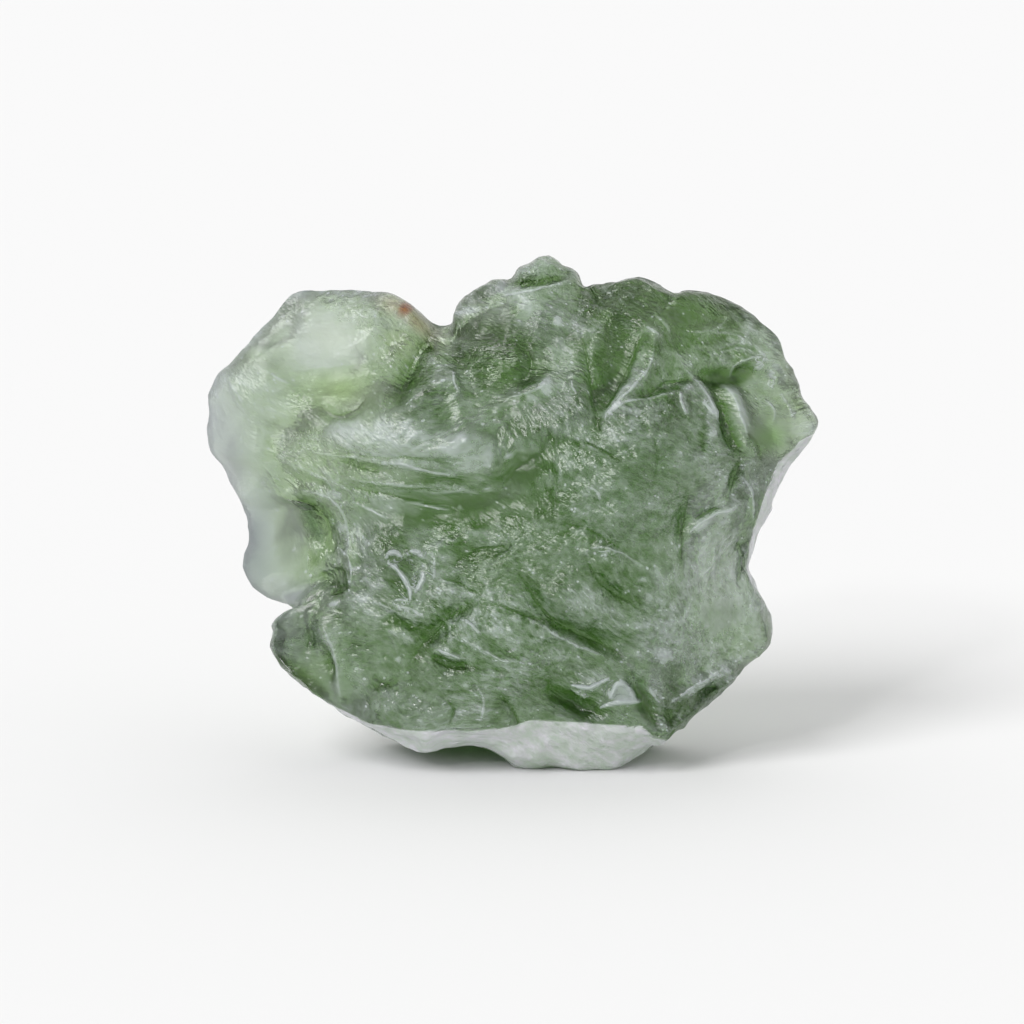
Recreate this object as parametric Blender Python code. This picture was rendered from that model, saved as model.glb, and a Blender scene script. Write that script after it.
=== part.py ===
"""Moldavite: one piece of natural green glass, standing on the small flat spot it rests on.

The stone is worked out in the plane of its broad face: a to the right, b up and c out of
the face, all in millimetres. Two sheets, the front and the back, share the outline as
their common edge. The whole is then leaned back, cut flat at the foot and set upright.
"""
import itertools
import math

import bmesh
import bpy
import numpy as np

MM = 0.001
NODE = "moldavite"

# Driving dimensions, in millimetres and degrees.
LEAN = 12.0            # the broad face leans back by this much
FOOT_B = -10.78        # the foot's front edge, down the face
FOOT_C = 0.3           # and out of the face
SET_BACK = 0.3         # moves the stone along Y, to centre its box on the origin
SNAP = 0.1             # corners this near the foot's plane are laid on it
CELLS = 48             # cells along each side of a sheet
SHOULDER = 0.78        # the part of a sheet's rings inside the shoulder
BLEND = 1.5            # how far a height below spreads into its neighbours
ETCHED_BOWLS = ((2.7, 0.42, 11), (1.4, 0.20, 23))  # usual width, depth, which scatter
RIM_WANDER = ((3, 0.20, 0.7), (7, 0.24, 2.9), (12, 0.16, 5.1))  # waves, height, start

# The outline of the broad face, from the right tip and round over the top: 26 mm long.
OUTLINE = (
    (13.00, 3.71), (12.66, 4.35), (12.11, 5.15), (11.56, 6.50), (11.40, 7.22), (11.19, 7.64),
    (10.72, 8.06), (9.54, 8.82), (8.15, 9.41), (7.47, 9.50), (6.96, 9.33), (6.42, 9.54),
    (5.53, 9.96), (4.98, 10.00), (4.47, 9.79), (3.80, 9.67), (3.50, 9.75), (3.12, 9.71),
    (2.74, 10.30), (2.24, 10.55), (1.81, 10.85), (1.35, 10.91), (0.80, 10.68), (0.30, 10.47),
    (-0.08, 10.00), (-0.63, 9.96), (-1.52, 9.58), (-2.19, 9.12), (-2.49, 8.57), (-2.62, 8.02),
    (-3.04, 7.89), (-3.88, 8.48), (-4.47, 9.03), (-5.15, 9.33), (-6.33, 9.31), (-6.92, 9.45),
    (-8.02, 9.41), (-9.03, 9.39), (-9.75, 8.95), (-10.43, 7.94), (-11.02, 7.18), (-12.07, 6.37),
    (-12.62, 5.91), (-12.92, 4.90), (-12.92, 4.18), (-13.02, 3.08), (-12.92, 2.57), (-12.41, 2.03),
    (-11.73, 0.72), (-11.27, -0.30), (-11.19, -1.22), (-11.35, -2.28), (-11.14, -2.91),
    (-10.34, -3.63), (-9.54, -3.93), (-9.20, -4.05), (-9.92, -4.43), (-10.21, -4.81),
    (-10.17, -5.11), (-10.30, -5.74), (-9.88, -6.50), (-8.78, -7.47), (-7.13, -8.57),
    (-5.40, -9.54), (-4.31, -10.00), (-3.63, -10.13), (-2.95, -9.94), (-2.19, -9.92),
    (-1.14, -10.13), (-0.34, -10.47), (0.34, -10.85), (0.93, -11.00), (1.60, -10.85),
    (2.66, -10.81), (4.01, -10.83), (4.98, -10.55), (5.87, -10.09), (7.26, -9.03), (8.61, -7.77),
    (10.17, -6.29), (10.85, -5.78), (11.02, -5.19), (10.68, -4.18), (10.34, -3.04),
    (10.13, -2.36), (10.34, -1.44), (11.02, 0.42), (11.90, 2.07), (12.79, 3.25),
)

# Round the rim: pairs of a direction in degrees and a value there.
EDGE_LEVEL = (
    (0, -0.4), (13, -0.2), (30, 0.3), (48, -0.7), (66, 0.1), (80, -0.5), (96, 0.2), (111, -0.4),
    (130, 0.0), (150, -0.3), (165, -0.9), (180, -1.2), (200, -0.9), (206, 0.2), (228, 0.3),
    (290, 0.3), (310, 0.3), (330, 0.0), (345, -0.5),
)
FRONT_INSET = (
    (5, 0.55), (15, 0.35), (35, 1.1), (60, 0.6), (80, 0.9), (105, 0.7), (128, 1.1), (150, 0.8),
    (162, 2.35), (176, 2.15), (180, 3.3), (189, 3.6), (199, 2.6), (204, 0.4), (226, 0.25),
    (236, 0.4), (247, 1.0), (259, 0.85), (268, 1.5), (275, 2.3), (288, 2.15), (300, 1.2),
    (304, 0.3), (345, 0.35), (355, 0.45),
)
FRONT_LEVEL = (
    (0, 1.5), (13, 0.6), (30, 1.1), (60, 1.2), (80, 1.3), (95, 1.2), (110, 0.9), (125, 0.7),
    (150, 0.7), (165, 1.3), (180, 1.5), (199, 1.3), (207, 1.5), (228, 1.6), (240, 2.4),
    (260, 2.7), (285, 2.7), (300, 2.3), (315, 1.4), (330, 1.4), (345, 1.5),
)
BACK_INSET = (
    (0, 1.6), (25, 0.9), (50, 1.8), (75, 1.0), (100, 1.6), (125, 1.1), (150, 1.9), (178, 1.3),
    (200, 1.7), (225, 1.0), (245, 1.0), (300, 1.0), (318, 1.6), (340, 1.2),
)
BACK_LEVEL = (
    (0, 1.9), (13, 1.0), (30, 1.6), (50, 2.1), (80, 1.5), (110, 1.1), (150, 1.2), (165, 1.6),
    (180, 2.1), (200, 1.7), (228, 2.4), (243, 4.2), (265, 4.6), (290, 4.6), (303, 4.0),
    (325, 2.3), (345, 2.2),
)
# 1 is a straight chamfer from shoulder to rim, 2 a round, more a boxy heel.
FRONT_ROUND = (
    (0, 1.3), (15, 2.0), (35, 1.3), (60, 2.0), (80, 1.5), (105, 1.8), (128, 1.3), (150, 1.7),
    (162, 1.25), (199, 1.25), (206, 2.0), (236, 2.0), (245, 1.25), (300, 1.25), (306, 2.0),
    (340, 2.0), (347, 1.3),
)
BACK_ROUND = (
    (0, 1.4), (25, 2.0), (50, 1.3), (75, 1.9), (100, 1.4), (150, 1.3), (178, 1.8), (225, 1.6),
    (243, 4.5), (300, 4.5), (318, 1.5), (340, 1.8),
)

# How far the face stands out of the outline's plane, at places on it.
FRONT_HEIGHTS = (
    # the thin upper left lobe
    (-7.5, 6.0, 1.5), (-10.6, 5.7, 1.5), (-8.9, 8.1, 1.3), (-5.2, 8.0, 1.2), (-3.7, 8.5, 0.9),
    (-11.7, 4.7, 1.2),
    # the streaked band that climbs from the left edge to the middle
    (-8.9, 3.0, 2.3), (-6.8, 3.0, 2.9), (-3.9, 3.0, 3.5), (-1.4, 2.4, 4.0), (-11.5, 3.0, 1.0),
    # the smooth apron at the lower left
    (-10.6, 0.9, 1.0), (-9.6, -0.8, 0.7), (-9.6, -2.9, 0.6),
    # the body beside it
    (-7.0, -1.0, 2.6), (-5.6, -0.4, 3.0), (-3.5, 0.0, 3.1), (-0.5, 0.5, 3.4), (-4.3, -2.5, 3.5),
    (-7.3, -3.5, 2.7), (-8.9, -5.4, 1.6), (-7.0, -6.7, 2.2),
    # the lower middle
    (-4.7, -4.6, 3.5), (-3.5, -7.6, 3.1), (-0.9, -5.4, 4.0), (-0.1, -8.0, 3.3), (2.0, -3.8, 4.4),
    (2.0, -7.6, 3.0),
    # the frosted plateau in the centre
    (2.0, -0.4, 4.4), (4.6, 1.3, 4.9), (4.6, -1.2, 4.7), (5.4, 3.4, 4.4), (1.2, 3.8, 3.8),
    # the upper middle, up to the knob
    (-0.5, 6.8, 3.0), (-2.2, 8.5, 1.9), (1.4, 10.2, 1.6), (2.0, 8.1, 2.7), (-2.6, 5.1, 3.2),
    # the upper right
    (4.1, 6.8, 2.9), (3.7, 4.7, 3.4), (5.8, 8.9, 2.2), (7.9, 8.5, 2.0), (6.0, 6.8, 3.5),
    (8.2, 6.8, 2.7), (9.6, 6.0, 1.9), (10.5, 7.4, 1.4),
    # the right tip and the flank under it
    (7.9, 3.0, 3.7), (9.4, 3.4, 3.2), (11.0, 3.4, 2.0), (12.2, 3.8, 1.2), (7.9, 0.9, 3.9),
    (9.4, 0.9, 2.9),
    # the lower right
    (8.4, -2.1, 3.6), (9.6, -2.3, 2.2), (9.7, -4.6, 2.0), (7.5, -4.6, 3.5), (5.8, -3.8, 4.3),
    (5.4, -6.1, 3.7), (7.9, -6.9, 2.1), (3.7, -7.6, 2.6), (6.2, -8.2, 2.3),
)
BACK_HEIGHTS = (
    # the thin lobes on the left of the face
    (-7.5, 6.0, 2.0), (-10.6, 5.1, 1.8), (-4.7, 7.8, 1.8), (-10.6, 0.9, 2.2), (-9.6, -2.7, 2.1),
    # along the top
    (-3.0, 5.5, 3.0), (-2.2, 8.5, 2.2), (1.4, 10.0, 2.2), (3.7, 7.6, 3.4), (7.9, 7.8, 2.9),
    (10.5, 6.6, 2.2),
    # the right tip and the flank under it
    (11.7, 3.8, 1.6), (7.9, 1.3, 4.0), (9.6, -1.2, 2.9), (9.6, -4.6, 2.6), (7.9, -4.6, 3.7),
    # the middle
    (-6.8, 1.7, 3.4), (-3.5, 0.5, 4.4), (-0.5, 5.1, 3.9), (0.3, 0.5, 5.0), (4.6, 1.3, 4.9),
    # the heel behind the foot
    (-7.7, -4.6, 3.0), (-4.7, -4.6, 4.2), (-0.5, -4.6, 4.9), (3.7, -4.6, 4.8), (-4.7, -8.0, 4.4),
    (-0.5, -8.4, 4.9), (3.7, -8.4, 4.9), (7.1, -7.6, 3.4),
)

# Hollows and swellings: centre, radii, turn in degrees, height (a hollow's is minus).
FRONT_MOUNDS = (
    ((-7.5, 5.9), (1.6, 1.95), 0, -0.60),    # thumb-print scallop in the upper left lobe
    ((-9.6, -0.8), (1.7, 1.7), 0, -0.30),    # dished apron
    ((-4.3, -2.5), (0.8, 0.85), 0, -0.35),   # chip scar
    ((-8.8, -5.9), (1.2, 1.35), 0, -0.60),   # hollow at the lower left tip
    ((-0.5, 6.6), (2.7, 2.1), 0, -0.40),     # soft dark basin in the upper middle
    ((8.7, -2.1), (1.2, 2.1), 0, -0.35),     # flank basin on the right
    ((4.6, 1.3), (3.4, 3.0), 0, 0.40),       # crown of the plateau
    ((1.4, 10.2), (1.2, 0.7), 0, 0.50),      # knob on top
)
BACK_MOUNDS = (
    ((5.6, 4.2), (2.3, 1.7), 25, -0.90),
    ((-1.2, 2.6), (2.6, 1.9), -20, -0.85),
    ((2.2, -3.2), (2.9, 2.0), 15, -0.95),
    ((-5.6, -2.2), (2.2, 1.6), -35, -0.80),
    ((-8.6, 5.4), (2.0, 1.7), 10, -0.50),
    ((8.8, -2.6), (1.5, 2.1), 0, -0.60),
    ((-3.6, -6.9), (2.1, 1.4), 12, -0.70),
    ((1.2, 7.6), (1.9, 1.3), -15, -0.60),
    ((-10.2, 0.2), (1.2, 1.8), 0, -0.35),
    ((6.4, -6.4), (1.6, 1.2), -30, -0.55),
)

# Furrows and ridges: the line they follow, half width, height (a furrow's is minus).
FRONT_LINES = (
    (((-3.2, 7.8), (-4.2, 6.2), (-4.7, 4.6)), 0.55, -0.50),              # under the dark body's step
    (((-10.4, 3.8), (-9.1, 3.3), (-7.8, 3.5)), 0.50, -0.30),             # foot of the upper left lobe
    (((-9.4, 2.6), (-5.1, 3.2), (-0.9, 2.2)), 1.40, 0.45),               # streaked band
    (((-7.7, 0.0), (-3.5, 0.0), (1.4, 0.3)), 0.85, -0.55),               # smooth valley
    (((-9.1, 0.3), (-7.9, -0.4), (-7.6, -1.6)), 0.45, -0.35),            # crescent by the apron
    (((0.2, -2.4), (1.4, -3.8), (3.7, -5.3), (4.6, -5.9)), 0.55, -0.50),  # strongest diagonal
    (((-4.1, -5.9), (-3.0, -4.8), (-2.0, -3.8)), 0.50, -0.35),
    (((4.9, 7.6), (4.4, 6.0), (3.7, 3.6)), 0.60, -0.55),                 # left of the V
    (((6.0, 7.6), (5.8, 6.3), (5.1, 5.3), (4.1, 4.3)), 0.50, 0.40),      # the V's ridge
    (((7.9, 5.7), (8.9, 5.6), (10.3, 5.8)), 0.55, -0.60),                # deep notch
    (((8.9, 5.2), (9.4, 4.6), (9.7, 3.7), (10.2, 2.2)), 0.50, 0.40),     # ridge under it
    (((7.3, 0.7), (7.1, -0.8), (7.3, -2.3)), 0.50, -0.40),
    (((1.5, -7.3), (2.4, -7.9), (3.4, -8.4)), 0.55, -0.60),              # dark pocket at the foot
    (((4.9, -6.7), (5.4, -7.8), (6.1, -8.9)), 0.50, -0.50),              # spur's groove
    (((-8.0, -4.6), (-7.4, -6.1), (-7.2, -7.8)), 0.50, 0.40),
    (((2.0, -3.3), (4.6, -5.0)), 0.55, 0.25),
)
BACK_LINES = (
    (((-6.5, 4.0), (-2.0, 4.9), (3.0, 4.4)), 0.60, -0.50),
    (((3.2, 6.2), (4.2, 2.6), (3.4, -0.6)), 0.55, 0.40),
    (((-3.4, -3.6), (0.4, -0.8), (5.8, -0.6)), 0.60, -0.55),
    (((-8.2, -2.2), (-6.4, 0.4), (-6.0, 3.2)), 0.55, 0.38),
    (((-2.0, -8.0), (0.6, -6.0), (4.6, -5.6)), 0.60, -0.50),
    (((6.6, -3.8), (7.2, 0.0), (8.8, 3.6)), 0.55, -0.50),
    (((-5.0, 8.0), (-3.6, 6.4), (-3.2, 4.8)), 0.55, -0.40),
)


def clear_scene():
    for item in list(bpy.data.objects):
        bpy.data.objects.remove(item, do_unlink=True)


def smooth_curve(points, steps, closed):
    """A centripetal Catmull-Rom curve: it passes through every point without looping."""
    p = np.array(points, float)
    if closed:
        p = np.vstack([p[-1:], p, p[:2]])
    else:
        p = np.vstack([2 * p[:1] - p[1:2], p, 2 * p[-1:] - p[-2:-1]])
    p0, p1, p2, p3 = p[:-3, None], p[1:-2, None], p[2:-1, None], p[3:, None]
    gap = np.sqrt(np.linalg.norm(np.diff(p, axis=0), axis=1))[:, None, None]
    k0, k1, k2 = gap[:-2], gap[1:-1], gap[2:]
    leave = k1 * ((p1 - p0) / k0 - (p2 - p0) / (k0 + k1) + (p2 - p1) / k1)
    reach = k1 * ((p2 - p1) / k1 - (p3 - p1) / (k1 + k2) + (p3 - p2) / k2)
    t = np.linspace(0, 1, steps, endpoint=False)[None, :, None]
    curve = (2 * t**3 - 3 * t**2 + 1) * p1 + (t**3 - 2 * t**2 + t) * leave
    curve = curve + (3 * t**2 - 2 * t**3) * p2 + (t**3 - t**2) * reach
    curve = curve.reshape(-1, 2)
    return curve if closed else np.vstack([curve, p[-2]])


def outline_at(turn):
    """The outline's point for each turn, spaced half by its length and half by direction."""
    rim = smooth_curve(OUTLINE, 16, closed=True)
    rim = np.vstack([rim, rim[:1]])
    length = np.concatenate([[0], np.cumsum(np.linalg.norm(np.diff(rim, axis=0), axis=1))])
    heading = np.unwrap(np.arctan2(rim[:, 1], rim[:, 0]))
    share = length / length[-1] + (heading - heading[0]) / math.tau
    turn = (turn - heading[0]) / math.tau % 1.0
    return np.stack([np.interp(turn, share / 2, rim[:, axis]) for axis in (0, 1)], axis=-1)


def around(direction, pairs):
    """Blend values that are given at directions round the rim, easing into each."""
    degrees = np.degrees(direction) % 360
    keys = np.array(pairs + ((pairs[0][0] + 360, pairs[0][1]),), float)
    degrees = np.where(degrees < keys[0, 0], degrees + 360, degrees)
    place = np.interp(degrees, keys[:, 0], np.arange(len(keys)))
    before = np.minimum(place.astype(int), len(keys) - 2)
    t = place - before
    t = t * t * (3 - 2 * t)
    return keys[before, 1] * (1 - t) + keys[before + 1, 1] * t


def heights_at(a, b, places):
    """Each place pulls its neighbourhood to its own height, less the farther away."""
    spots = np.array(places)
    away = (a[..., None] - spots[:, 0]) ** 2 + (b[..., None] - spots[:, 1]) ** 2
    pull = np.exp(-away / (2 * BLEND**2)) + 1e-6
    return (pull * spots[:, 2]).sum(-1) / pull.sum(-1)


def mound(a, b, centre, radii, turn, height):
    """A bell-shaped swelling or hollow on an ellipse."""
    c, s = math.cos(math.radians(turn)), math.sin(math.radians(turn))
    da, db = a - centre[0], b - centre[1]
    along = (da * c + db * s) / radii[0]
    across = (db * c - da * s) / radii[1]
    return height * np.exp(-(along**2 + across**2))


def line_form(a, b, points, half_width, height):
    """A furrow or ridge: bell-shaped across its curve, fading out towards both ends."""
    curve = smooth_curve(points, 6, closed=False)
    start, step = curve[:-1], np.diff(curve, axis=0)
    da, db = a[..., None] - start[:, 0], b[..., None] - start[:, 1]
    t = np.clip((da * step[:, 0] + db * step[:, 1]) / (step**2).sum(1), 0, 1)
    away = np.hypot(da - t * step[:, 0], db - t * step[:, 1])
    nearest = away.argmin(-1)[..., None]
    distance = np.take_along_axis(away, nearest, -1)[..., 0]
    along = np.take_along_axis(t + np.arange(len(step)), nearest, -1)[..., 0] / len(step)
    fade = np.clip(np.sin(np.pi * (0.08 + 0.84 * along)), 0, 1) ** 0.6
    return height * fade * np.exp(-((distance / half_width) ** 2))


def scatter(cell, salt):
    """Three numbers from 0 to 1 for each whole-numbered cell, always the same ones."""
    x, y, z = (cell[..., axis].astype(np.uint32) for axis in range(3))
    mix = x * np.uint32(73856093) ^ y * np.uint32(19349663) ^ z * np.uint32(83492791)
    spots = []
    for turn in range(3):
        mix = mix ^ np.uint32(salt + 7919 * turn)
        mix = (mix ^ (mix >> np.uint32(15))) * np.uint32(2246822519)
        mix = (mix ^ (mix >> np.uint32(13))) * np.uint32(3266489917)
        mix = mix ^ (mix >> np.uint32(16))
        spots.append(mix / 4294967296.0)
    return np.stack(spots, axis=-1)


def etched_bowls(place, width, salt):
    """Squared distance to the nearest of scattered points: bowls with crests between them."""
    place = place / width
    home = np.floor(place).astype(np.int64)
    nearest = np.full(place.shape[:-1], 9.0)
    for step in itertools.product((-1, 0, 1), repeat=3):
        cell = home + np.array(step)
        spot = cell + scatter(cell, salt)
        nearest = np.minimum(nearest, ((place - spot) ** 2).sum(-1))
    return np.minimum(nearest, 1.0)


def sheet(u, v, front):
    """The place of each grid point (u, v, each -1 to 1) on the front or the back sheet.

    Rings of the square grid become rings of the outline. Inside the shoulder they carry
    the face's heights, outside it they run over the rounded or chamfered edge to the rim.
    """
    ring = np.maximum(np.abs(u), np.abs(v))
    wide = np.abs(u) >= np.abs(v)
    safe_u = np.where(u == 0, 1, u)
    safe_v = np.where(v == 0, 1, v)
    turn = np.where(wide, math.pi / 4 * v / safe_u, math.pi / 2 - math.pi / 4 * u / safe_v)
    turn = turn + np.where(np.where(wide, u, v) < 0, math.pi, 0)
    rim = outline_at(turn)
    reach = np.hypot(rim[..., 0], rim[..., 1])
    heading = np.arctan2(rim[..., 1], rim[..., 0])
    side = 1 if front else -1
    inset = around(heading, FRONT_INSET if front else BACK_INSET)
    shoulder = side * around(heading, FRONT_LEVEL if front else BACK_LEVEL)
    roundness = around(heading, FRONT_ROUND if front else BACK_ROUND)
    edge = around(heading, EDGE_LEVEL)
    for waves, height, start in RIM_WANDER:
        edge = edge + height * np.sin(waves * heading + start)

    inner = np.clip(ring / SHOULDER, 0, 1)
    outer = np.clip((ring - SHOULDER) / (1 - SHOULDER), 0, 1) * math.pi / 2
    radius = np.where(outer > 0, reach - inset * (1 - np.sin(outer) ** (2 / roundness)),
                      inner * (reach - inset))
    a, b = rim[..., 0] * radius / reach, rim[..., 1] * radius / reach

    relief = side * heights_at(a, b, FRONT_HEIGHTS if front else BACK_HEIGHTS)
    for form in FRONT_MOUNDS if front else BACK_MOUNDS:
        relief = relief + side * mound(a, b, *form)
    for form in FRONT_LINES if front else BACK_LINES:
        relief = relief + side * line_form(a, b, *form)
    hold = inner**7
    face = relief * (1 - hold) + shoulder * hold
    fall = np.clip(np.cos(outer), 0, 1) ** (2 / roundness)
    c = np.where(outer > 0, edge + (shoulder - edge) * fall, face)

    place = np.stack([a, b, c], axis=-1)
    out = np.stack([np.cos(heading) * np.sin(outer), np.sin(heading) * np.sin(outer),
                    side * np.cos(outer)], axis=-1)
    bowls = sum(depth * (etched_bowls(place, width, salt) - 0.4) for width, depth, salt in ETCHED_BOWLS)
    return place + out * bowls[..., None]


def stand_up(place):
    """Lean the face back and bring the foot's plane to z = 0."""
    lean = math.radians(LEAN)
    foot = FOOT_B * math.cos(lean) + FOOT_C * math.sin(lean)
    a, b, c = (place[..., axis] for axis in range(3))
    y = b * math.sin(lean) - c * math.cos(lean) + SET_BACK
    z = b * math.cos(lean) + c * math.sin(lean) - foot
    return np.stack([a, y, np.where(np.abs(z) < SNAP, 0, z)], axis=-1) * MM


def add_sheet(bm, front):
    grid = bmesh.ops.create_grid(bm, x_segments=CELLS, y_segments=CELLS, size=1.0)
    corners = grid["verts"]
    flat = np.array([corner.co[:2] for corner in corners])
    places = stand_up(sheet(flat[:, 0], flat[:, 1], front))
    for corner, place in zip(corners, places.tolist()):
        corner.co = place


def cut_foot(bm):
    """Cut the stone level with the surface that it stands on, and close the cut."""
    everything = bm.verts[:] + bm.edges[:] + bm.faces[:]
    bmesh.ops.bisect_plane(bm, geom=everything, dist=1e-7, plane_co=(0, 0, 0),
                           plane_no=(0, 0, 1), clear_inner=True)
    rim = [edge for edge in bm.edges if edge.is_boundary]
    bmesh.ops.holes_fill(bm, edges=rim, sides=0)


def glass():
    material = bpy.data.materials.new("natural green glass")
    material.use_nodes = True
    shader = material.node_tree.nodes["Principled BSDF"]
    shader.inputs["Base Color"].default_value = (0.22, 0.31, 0.21, 1)
    shader.inputs["Roughness"].default_value = 0.35
    shader.inputs["Metallic"].default_value = 0.0
    shader.inputs["IOR"].default_value = 1.49
    shader.inputs["Transmission Weight"].default_value = 0.8
    return material


def build_stone():
    bm = bmesh.new()
    add_sheet(bm, front=True)
    add_sheet(bm, front=False)
    bmesh.ops.remove_doubles(bm, verts=bm.verts[:], dist=1e-6)
    cut_foot(bm)
    bmesh.ops.triangulate(bm, faces=bm.faces[:])
    bmesh.ops.recalc_face_normals(bm, faces=bm.faces[:])
    mesh = bpy.data.meshes.new(NODE)
    bm.to_mesh(mesh)
    bm.free()
    mesh.materials.append(glass())
    mesh.shade_smooth()
    stone = bpy.data.objects.new(NODE, mesh)
    bpy.context.scene.collection.objects.link(stone)
    return stone


clear_scene()
build_stone()
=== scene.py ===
import itertools
import math

import bpy
import numpy as np
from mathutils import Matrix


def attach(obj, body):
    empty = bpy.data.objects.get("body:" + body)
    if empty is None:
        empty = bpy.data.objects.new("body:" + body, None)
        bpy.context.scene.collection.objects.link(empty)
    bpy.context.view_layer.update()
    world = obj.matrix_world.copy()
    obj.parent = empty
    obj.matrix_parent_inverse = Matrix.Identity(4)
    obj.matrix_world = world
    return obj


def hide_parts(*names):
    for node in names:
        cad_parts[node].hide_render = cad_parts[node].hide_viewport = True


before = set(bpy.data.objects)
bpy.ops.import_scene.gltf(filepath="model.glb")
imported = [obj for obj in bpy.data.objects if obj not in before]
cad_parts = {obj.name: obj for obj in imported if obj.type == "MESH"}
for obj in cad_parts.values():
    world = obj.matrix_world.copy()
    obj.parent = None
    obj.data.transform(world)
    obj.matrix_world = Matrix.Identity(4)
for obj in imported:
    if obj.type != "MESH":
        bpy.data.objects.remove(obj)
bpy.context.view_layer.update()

# The stone: one piece of natural green glass, 26 mm long, that froze in flight and was then
# etched in the ground for ages, which left furrows, bowls and frosted crests all over it.
# Nothing is fixed to it. It stands on a small flat spot of its lower edge, leaning back.
# It is worked out in the plane of its broad face, in millimetres: a to the right, b up and
# c out of the face.
MM = 0.001
LEAN = 12.0            # degrees that the broad face leans back
FOOT_B = -10.78        # the foot's front edge: down the face, in millimetres
FOOT_C = 0.3           # and out of the face
SET_BACK = 0.3         # moves the stone back along Y, which centres its box
CELLS = 222            # cells along each side of the front sheet and of the back sheet
SHOULDER = 0.78        # the part of a sheet's rings inside the shoulder
BLEND = 1.5            # how far a height below spreads into its neighbours
RIM_WANDER = ((3, 0.20, 0.7), (7, 0.24, 2.9), (12, 0.16, 5.1))  # waves, height, start

# The outline of the broad face, from the right tip and round over the top.
OUTLINE = (
    (13, 3.71), (12.66, 4.35), (12.11, 5.15), (11.56, 6.5), (11.4, 7.22), (11.19, 7.64), (10.72, 8.06),
    (9.54, 8.82), (8.15, 9.41), (7.47, 9.5), (6.96, 9.33), (6.42, 9.54), (5.53, 9.96), (4.98, 10),
    (4.47, 9.79), (3.8, 9.67), (3.5, 9.75), (3.12, 9.71), (2.74, 10.3), (2.24, 10.55), (1.81, 10.85),
    (1.35, 10.91), (0.8, 10.68), (0.3, 10.47), (-0.08, 10), (-0.63, 9.96), (-1.52, 9.58), (-2.19, 9.12),
    (-2.49, 8.57), (-2.62, 8.02), (-3.04, 7.89), (-3.88, 8.48), (-4.47, 9.03), (-5.15, 9.33), (-6.33, 9.31),
    (-6.92, 9.45), (-8.02, 9.41), (-9.03, 9.39), (-9.75, 8.95), (-10.43, 7.94), (-11.02, 7.18),
    (-12.07, 6.37), (-12.62, 5.91), (-12.92, 4.9), (-12.92, 4.18), (-13.02, 3.08), (-12.92, 2.57),
    (-12.41, 2.03), (-11.73, 0.72), (-11.27, -0.3), (-11.19, -1.22), (-11.35, -2.28), (-11.14, -2.91),
    (-10.34, -3.63), (-9.54, -3.93), (-9.2, -4.05), (-9.92, -4.43), (-10.21, -4.81), (-10.17, -5.11),
    (-10.3, -5.74), (-9.88, -6.5), (-8.78, -7.47), (-7.13, -8.57), (-5.4, -9.54), (-4.31, -10),
    (-3.63, -10.13), (-2.95, -9.94), (-2.19, -9.92), (-1.14, -10.13), (-0.34, -10.47), (0.34, -10.85),
    (0.93, -11), (1.6, -10.85), (2.66, -10.81), (4.01, -10.83), (4.98, -10.55), (5.87, -10.09),
    (7.26, -9.03), (8.61, -7.77), (10.17, -6.29), (10.85, -5.78), (11.02, -5.19), (10.68, -4.18),
    (10.34, -3.04), (10.13, -2.36), (10.34, -1.44), (11.02, 0.42), (11.9, 2.07), (12.79, 3.25),
)

# Round the rim, pairs of a direction in degrees and a value there: how far the rim lies in
# front of the outline's plane, and how far in and out of it each sheet's shoulder lies.
EDGE_LEVEL = (
    (0, -0.4), (13, -0.2), (30, 0.3), (48, -0.7), (66, 0.1), (80, -0.5), (96, 0.2), (111, -0.4), (130, 0),
    (150, -0.3), (165, -0.9), (180, -1.2), (200, -0.9), (206, 0.2), (228, 0.3), (290, 0.3), (310, 0.3),
    (330, 0), (345, -0.5),
)
FRONT_INSET = (
    (5, 0.55), (15, 0.35), (35, 1.1), (60, 0.6), (80, 0.9), (105, 0.7), (128, 1.1), (150, 0.8), (162, 2.35),
    (176, 2.15), (180, 3.3), (189, 3.6), (199, 2.6), (204, 0.4), (226, 0.25), (236, 0.4), (247, 1),
    (259, 0.85), (268, 1.5), (275, 2.3), (288, 2.15), (300, 1.2), (304, 0.3), (345, 0.35), (355, 0.45),
)
FRONT_LEVEL = (
    (0, 1.5), (13, 0.6), (30, 1.1), (60, 1.2), (80, 1.3), (95, 1.2), (110, 0.9), (125, 0.7), (150, 0.7),
    (165, 1.3), (180, 1.5), (199, 1.3), (207, 1.5), (228, 1.6), (240, 2.4), (260, 2.7), (285, 2.7),
    (300, 2.3), (315, 1.4), (330, 1.4), (345, 1.5),
)
BACK_INSET = (
    (0, 1.6), (25, 0.9), (50, 1.8), (75, 1), (100, 1.6), (125, 1.1), (150, 1.9), (178, 1.3), (200, 1.7),
    (225, 1), (245, 1), (300, 1), (318, 1.6), (340, 1.2),
)
BACK_LEVEL = (
    (0, 1.9), (13, 1), (30, 1.6), (50, 2.1), (80, 1.5), (110, 1.1), (150, 1.2), (165, 1.6), (180, 2.1),
    (200, 1.7), (228, 2.4), (243, 4.2), (265, 4.6), (290, 4.6), (303, 4), (325, 2.3), (345, 2.2),
)
# 1 is a straight chamfer from shoulder to rim, 2 a round, more a boxy heel.
FRONT_ROUND = (
    (0, 1.3), (15, 2), (35, 1.3), (60, 2), (80, 1.5), (105, 1.8), (128, 1.3), (150, 1.7), (162, 1.25),
    (199, 1.25), (206, 2), (236, 2), (245, 1.25), (300, 1.25), (306, 2), (340, 2), (347, 1.3),
)
BACK_ROUND = (
    (0, 1.4), (25, 2), (50, 1.3), (75, 1.9), (100, 1.4), (150, 1.3), (178, 1.8), (225, 1.6), (243, 4.5),
    (300, 4.5), (318, 1.5), (340, 1.8),
)

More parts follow.
